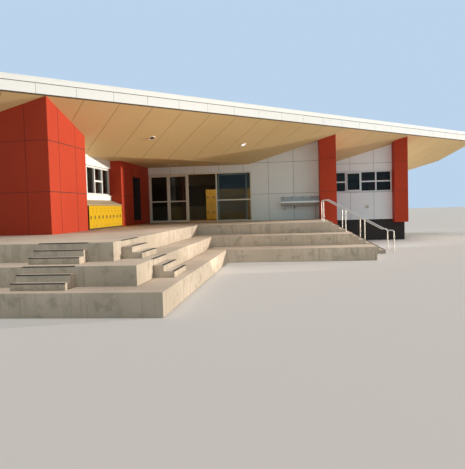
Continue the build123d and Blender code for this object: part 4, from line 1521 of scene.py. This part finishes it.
@dataclass
class Soffit:
    """The pleated soffit, porch ceiling and closing panels."""

    site: Site
    cladding: Cladding
    edge_height: float = 5.62
    fall: float = 0.41
    seam_inset: float = 0.2
    sheet_length: float = 2.594
    gap: float = 0.014
    butt: float = 0.004
    porch_joint: float = -2.34

    def build(self) -> None:
        """Lines the pleats with joined sheets."""
        site, clad, inset = self.site, self.cladding, self.seam_inset
        # The soffit colour carries painted warm bounce light from the deck.
        paint, joint = Finishes.SOFFIT, Finishes.SOFFIT_JOINT_AND_SHADOW
        along, lines = site.edge_lines(site.soffit_joint)
        facing = site.slope("wing_soffit", -1.0)
        clad.cover("wing_soffit", facing, paint, joint, [(along, lines)], "wing_soffit", self.gap)
        facing = site.slope("main_soffit", -1.0)
        seam = site.edge_point(0.0) - site.outward * inset + UP * (self.edge_height - self.fall * inset)
        step = site.soffit_joint[1] / math.cos(site.edge_angle)
        clad.bond("main_soffit", facing, paint, joint, "main_soffit", up=along, course=step,
                  first=site.edge_point(site.soffit_joint[0]).dot(along) - step,
                  start=seam.dot(along.cross(facing).normalized()), length=self.sheet_length, gap=self.gap,
                  butt=self.butt, arris=clad.arris)
        low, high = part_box("porch_ceiling")
        porch_joints = spaced(self.porch_joint, 2 * site.module, low[0], high[0])
        clad.cover("porch_ceiling", -UP, paint, joint, [(Axis.X.vector, porch_joints)], "porch_ceiling",
                   self.gap)
        site.refinish(paint, "main_soffit", "wing_soffit", "court_soffit", "bay_soffit", "porch_ceiling",
                      "inside_ceiling", "roof_end_panels")


@dataclass(frozen=True)
class Fold:
    """A strip along the roof edge between two heights of a node's face, with its lower edge at a drip."""

    name: str
    node: str
    finish: Finish
    low: float
    high: float
    proud: float
    arris: float = 0.0
    drip: float | None = None


@dataclass
class Roof:
    """The ribbed roof sheet, the panelled fascia, its capping, and the folds along it."""

    site: Site
    cladding: Cladding
    capping_arris: float = 0.006
    rib_pitch: float = 0.70
    rib_width: float = 0.05
    rib_height: float = 0.03
    rib_arris: float = 0.012
    edge_band: float = 0.004
    folds: tuple[Fold, ...] = (
        Fold("capping_lips", "fascia_capping", Finishes.FASCIA, 5.983, 6.003, 0.006, arris=0.0015),
        Fold("capping_top_lips", "fascia_capping", Finishes.FASCIA, 6.118, 6.154, 0.004, arris=0.0015),
        # Painted shadow: these two dark strips stand for the shadow line under the capping and the shadow gap
        # where the fascia meets the soffit; the lower one also drops to a drip.
        Fold("capping_painted_shadow", "fascia", Finishes.SOFFIT_JOINT_AND_SHADOW, 5.964, 5.982, 0.007),
        Fold("soffit_drip_painted_shadow", "fascia", Finishes.SOFFIT_JOINT_AND_SHADOW, 5.60, 5.652, 0.0065, drip=5.606),
    )

    def build(self) -> None:
        """Builds fascia panels, capping, folds and ribs."""
        site = self.site
        along, joints = site.edge_lines(site.fascia_joint)
        self.cladding.cover("fascia", site.outward, Finishes.FASCIA, Finishes.FASCIA_JOINT, [(along, joints)],
                            "fascia")
        site.refinish(Finishes.FASCIA, "fascia")
        site.rounded("fascia_capping", Finishes.FASCIA, self.capping_arris, segments=2)
        for fold in self.folds:
            self._fold(fold)
        site.refinish(Finishes.ROOF, "roof_deck")
        normal = site.slope("roof_deck", 1.0)
        sheet = outer_faces(site.nodes["roof_deck"], normal)
        ribs = cut_strips(sheet, along, spaced(joints[0], self.rib_pitch, *site.reach), self.rib_width)
        bmesh.ops.delete(sheet, geom=[face for face in sheet.faces if face not in ribs], context="FACES")
        thicken(sheet, normal, self.rib_height)
        soften(sheet, self.rib_arris)
        place(sheet, "roof_ribs", Finishes.ROOF)

    def _fold(self, fold: Fold) -> None:
        """Adds one fold.

        Args:
            fold: Its place and finish.
        """
        sheet = outer_faces(self.site.nodes[fold.node], self.site.outward)
        for height in (fold.low, fold.high):
            cut(sheet, UP, height)
        bmesh.ops.delete(sheet, context="FACES", geom=[
            face for face in sheet.faces if not fold.low < face.calc_center_median().z < fold.high])
        thicken(sheet, self.site.outward, fold.proud)
        if fold.drip is not None:
            lowest = min(vert.co.z for vert in sheet.verts)
            bmesh.ops.translate(sheet, vec=-UP * (lowest - fold.drip), verts=[
                vert for vert in sheet.verts if vert.co.z < lowest + self.edge_band])
        if fold.arris:
            soften(sheet, fold.arris)
        place(sheet, fold.name, fold.finish)


@dataclass
class Lamps:
    """Recessed soffit lights, the round wall light and the porch's movement sensor."""

    site: Site
    round_sides: int = 12
    arris: float = 0.004
    rim: float = 0.018
    rim_sides: int = 8
    plate_sides: int = 48
    lens_sides: int = 40
    eye_sides: int = 32
    flange: float = 0.05
    plate_set: float = 0.010
    plate_depth: float = 0.012
    rim_inset: float = 0.004
    cup_depth: float = 0.0015
    cup_proud: float = 0.002
    lens_inset: float = 0.012
    lens_depth: float = 0.014
    lens_proud: float = 0.0035
    lens_crown: float = 0.62
    wall_rim: float = 0.012
    eye_share: float = 0.52
    eye_crown: float = 0.40
    eye_depth: float = 0.006
    sensor: Point = (-3.38, 15.14, 4.206)
    sensor_steps: tuple[tuple[float, float], ...] = ((0.0, 0.055), (0.018, 0.042))
    sensor_depth: float = 0.020
    sensor_taper: float = 0.8

    def build(self) -> None:
        """Turns each plain disc into a rimmed light with a sunken lens."""
        bm = merged_copy(self.site.nodes["lights"])
        bm.normal_update()
        faces = [face for face in bm.faces if len(face.verts) > self.round_sides
                 and min(face.normal.z, face.normal.y) < -STEEP]
        fronts = [(face.calc_center_median(), face.normal.copy(),
                   (face.verts[0].co - face.calc_center_median()).length) for face in faces]
        soften(bm, self.arris, segments=2)
        place(bm, "lights_dressed", Finishes.FRAME, stands_for=("lights",), smooth=EDGE_SMOOTH)
        rims, lit, dark = bmesh.new(), bmesh.new(), bmesh.new()
        cups, eyes = bmesh.new(), bmesh.new()
        for centre, normal, radius in fronts:
            if normal.z < -STEEP:
                plate = radius + self.flange
                disc(rims, centre - normal * self.plate_set, normal, plate, self.plate_depth,
                     plate - self.plate_set, self.plate_sides)
                self._ring(rims, centre, normal, plate - self.rim_inset)
                disc(cups, centre + normal * self.cup_proud, normal, radius, self.cup_depth,
                     segments=self.lens_sides)
                disc(lit if centre.x > 0.0 else dark, centre + normal * self.lens_proud, normal,
                     radius - self.lens_inset, self.lens_depth, radius * self.lens_crown, self.lens_sides)
            else:
                self._ring(rims, centre, normal, radius + self.wall_rim)
                disc(cups, centre, normal, radius - self.rim - self.rim_inset, self.cup_depth,
                     segments=self.eye_sides)
                disc(eyes, centre + normal * self.cup_depth, normal, radius * self.eye_share, self.eye_depth,
                     radius * self.eye_crown, self.eye_sides)
        for drop, radius in self.sensor_steps:
            disc(eyes, Vector(self.sensor) - UP * drop, -UP, radius, self.sensor_depth,
                 radius * self.sensor_taper)
        bmesh.ops.recalc_face_normals(rims, faces=rims.faces[:])
        place(rims, "light_rims", Finishes.FRAME, smooth=ROUND_SMOOTH)
        # Painted shade: the cups inside the rims are near-black for the shade in the recess.
        place(cups, "light_cups", Finishes.PAINTED_SHADE_BLACK)
        place(lit, "lit_lenses", Finishes.LIT_LENS, smooth=ROUND_SMOOTH)
        place(dark, "dark_lenses", Finishes.LAMP_GLASS, smooth=ROUND_SMOOTH)
        place(eyes, "wall_light_and_sensor", Finishes.LENS, smooth=ROUND_SMOOTH)

    def _ring(self, bm: Shape, centre: Vector, normal: Vector, radius: float) -> None:
        """Adds a turned rim round a light.

        Args:
            bm: The bmesh that it goes into.
            centre: Middle of the light's face.
            normal: The way that it faces.
            radius: Outer radius of the rim.
        """
        side = normal.orthogonal().normalized()
        spot = centre + side * (radius - self.rim / 2) + normal * self.rim_inset
        ring = bmesh.ops.create_circle(bm, segments=self.rim_sides, radius=self.rim / 2,
                                       matrix=standing(spot, normal.cross(side)))["verts"]
        edges = each_once(edge for vert in ring for edge in vert.link_edges)
        bmesh.ops.spin(bm, geom=[*ring, *edges], cent=centre, axis=normal, angle=math.tau,
                       steps=self.lens_sides, use_merge=True)


def hang_light(light: bpy.types.Light, strength: float, colour: Colour, stand: Vector,
               away: Vector) -> bpy.types.Object:
    """Hangs a light in the scene.

    Args:
        light: The light.
        strength: Its strength.
        colour: Its colour.
        stand: Where it hangs.
        away: The way from what it lights back to it.

    Returns:
        Its object.
    """
    light.energy = strength
    light.color = colour
    lamp = bpy.data.objects.new(light.name, light)
    lamp.rotation_mode = "QUATERNION"
    lamp.rotation_quaternion = away.to_track_quat("Z", "Y")
    lamp.location = stand
    bpy.context.scene.collection.objects.link(lamp)
    return lamp


@dataclass(frozen=True)
class Sun:
    """A soft distant light: the way to it, its strength and colour, and the degrees that it covers."""

    name: str
    source: Point
    strength: float
    colour: Colour
    softness: float
    distance: float = 30.0
    sharp: float = 10.0

    def hang(self) -> None:
        """Adds the light, which only shows in gloss where it is sharp."""
        light = bpy.data.lights.new(self.name, "SUN")
        light.angle = math.radians(self.softness)
        away = Vector(self.source)
        lamp = hang_light(light, self.strength, self.colour, away * self.distance, away)
        lamp.visible_glossy = self.softness < self.sharp


@dataclass(frozen=True)
class Card:
    """A broad soft light that bounces up under the roof: where it stands, and the point that it faces."""

    name: str
    stand: Point
    aim: Point
    size: tuple[float, float]
    power: float
    colour: Colour

    def hang(self) -> None:
        """Adds the light, out of sight of camera and gloss."""
        light = bpy.data.lights.new(self.name, "AREA")
        light.shape = "RECTANGLE"
        light.size, light.size_y = self.size
        away = Vector(self.stand) - Vector(self.aim)
        card = hang_light(light, self.power, self.colour, Vector(self.stand), away)
        card.visible_camera = False
        card.visible_glossy = False


@dataclass
class Studio:
    """A pale floor, soft light and the camera at the photograph's viewing angle."""

    centre: Point = (1.5, 8.0, -0.002)
    floor_size: float = 180.0
    floor_colour: Colour = (0.62, 0.60, 0.57)
    floor_roughness: float = 0.9
    world_colour: Colour = (0.96, 0.98, 1.0)
    world_strength: float = 0.17
    background: Colour = (0.50, 0.66, 0.84)
    eye: Point = (3.9236, -10.7793, 1.998)
    yaw: float = 0.1158
    pitch: float = 0.0475
    roll: float = 0.0280
    lens: float = 39.06
    sensor: float = 36.0
    shift: tuple[float, float] = (-0.0027, -0.0052)
    view_end: float = 500.0
    lights: tuple[Sun | Card, ...] = (
        Sun("key_light", (1.0, 0.309, 0.092), 3.80, (1.0, 0.945, 0.83), 2.0),
        Sun("top_light", (0.05, -0.12, 1.0), 1.86, (1.0, 0.92, 0.88), 50.0),
        Sun("front_light", (0.2, -1.0, 0.35), 0.44, (0.26, 0.80, 0.94), 60.0),
        Card("court_card", (3.3, 4.5, 0.12), (3.2, 5.2, 1.6), (3.2, 6.0), 205.0, (1.0, 0.90, 0.76)),
        Card("hall_card", (0.4, 17.0, 4.1), (0.4, 17.3, 1.3), (3.4, 1.6), 30.0, (1.0, 0.76, 0.46)),
        Card("bay_card", (8.7, 12.6, 1.9), (7.7, 18.2, 2.2), (3.0, 1.6), 34.0, (0.58, 0.86, 1.0)),
    )

    def build(self) -> None:
        """Sets floor, world, lights, camera and view."""
        scene = bpy.context.scene
        scene.view_settings.view_transform = "Standard"
        self._floor(scene)
        self._world(scene)
        for light in self.lights:
            light.hang()
        self._camera(scene)

    def _floor(self, scene: bpy.types.Scene) -> None:
        """Adds the floor that the building stands on.

        Args:
            scene: The scene.
        """
        bm = bmesh.new()
        bmesh.ops.create_grid(bm, x_segments=1, y_segments=1, size=self.floor_size,
                              matrix=Matrix.Translation(self.centre))
        mesh = bpy.data.meshes.new("studio_floor")
        bm.to_mesh(mesh)
        bm.free()
        material, graph, shader = new_material("studio_floor", self.floor_colour)
        graph.fill(shader, in_Base_Color=(*self.floor_colour, 1.0), in_Roughness=self.floor_roughness)
        mesh.materials.append(material)
        floor = bpy.data.objects.new("studio_floor", mesh)
        scene.collection.objects.link(floor)

    def _world(self, scene: bpy.types.Scene) -> None:
        """Lights the scene evenly, with a pale background for the camera, gloss and glass.

        Args:
            scene: The scene.
        """
        world = bpy.data.worlds.new("studio")
        world.use_nodes = True
        graph = Graph(world.node_tree)
        light = world.node_tree.nodes["Background"]
        graph.fill(light, in_Color=(*self.world_colour, 1.0), in_Strength=self.world_strength)
        seen = graph.add("Background", in_Color=(*self.background, 1.0), in_Strength=1.0)
        path = graph.add("LightPath")
        mix = graph.add("MixShader")
        seen_by = graph.math("MAXIMUM", path.outputs["Is Glossy Ray"], path.outputs["Is Transmission Ray"])
        graph.join(graph.math("MAXIMUM", path.outputs["Is Camera Ray"], seen_by), mix.inputs[0])
        graph.join(light.outputs[0], mix.inputs[1])
        graph.join(seen.outputs[0], mix.inputs[2])
        graph.join(mix.outputs[0], world.node_tree.nodes["World Output"].inputs["Surface"])
        scene.world = world

    def _camera(self, scene: bpy.types.Scene) -> None:
        """Sets the camera where the photograph was taken from.

        Args:
            scene: The scene.
        """
        data = bpy.data.cameras.new("camera")
        data.lens = self.lens
        data.sensor_width = self.sensor
        data.clip_end = self.view_end
        data.shift_x, data.shift_y = self.shift
        camera = bpy.data.objects.new("camera", data)
        heading = Matrix.Rotation(self.yaw, 4, "Z") @ Matrix.Rotation(math.pi / 2 - self.pitch, 4, "X")
        camera.matrix_world = (Matrix.Translation(self.eye) @ heading
                               @ Matrix.Rotation(-self.roll, 4, "Z"))
        scene.collection.objects.link(camera)
        scene.camera = camera


def main() -> None:
    """Loads the frame, dresses each sub-assembly in turn and reports it."""
    logging.basicConfig(level=logging.INFO, format="%(name)s: %(message)s")
    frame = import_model()
    site = Site(frame["nodes"])
    cladding = Cladding(site)
    parts = [Walls(site, cladding), Terraces(site), StairRails(site), Entrance(site), LockerBank(site),
             Trough(site), Soffit(site, cladding), Roof(site, cladding), Lamps(site)]
    for part in parts:
        part.build()
        LOG.info("%s done", type(part).__name__)
    Studio().build()


if __name__ == "__main__":
    main()
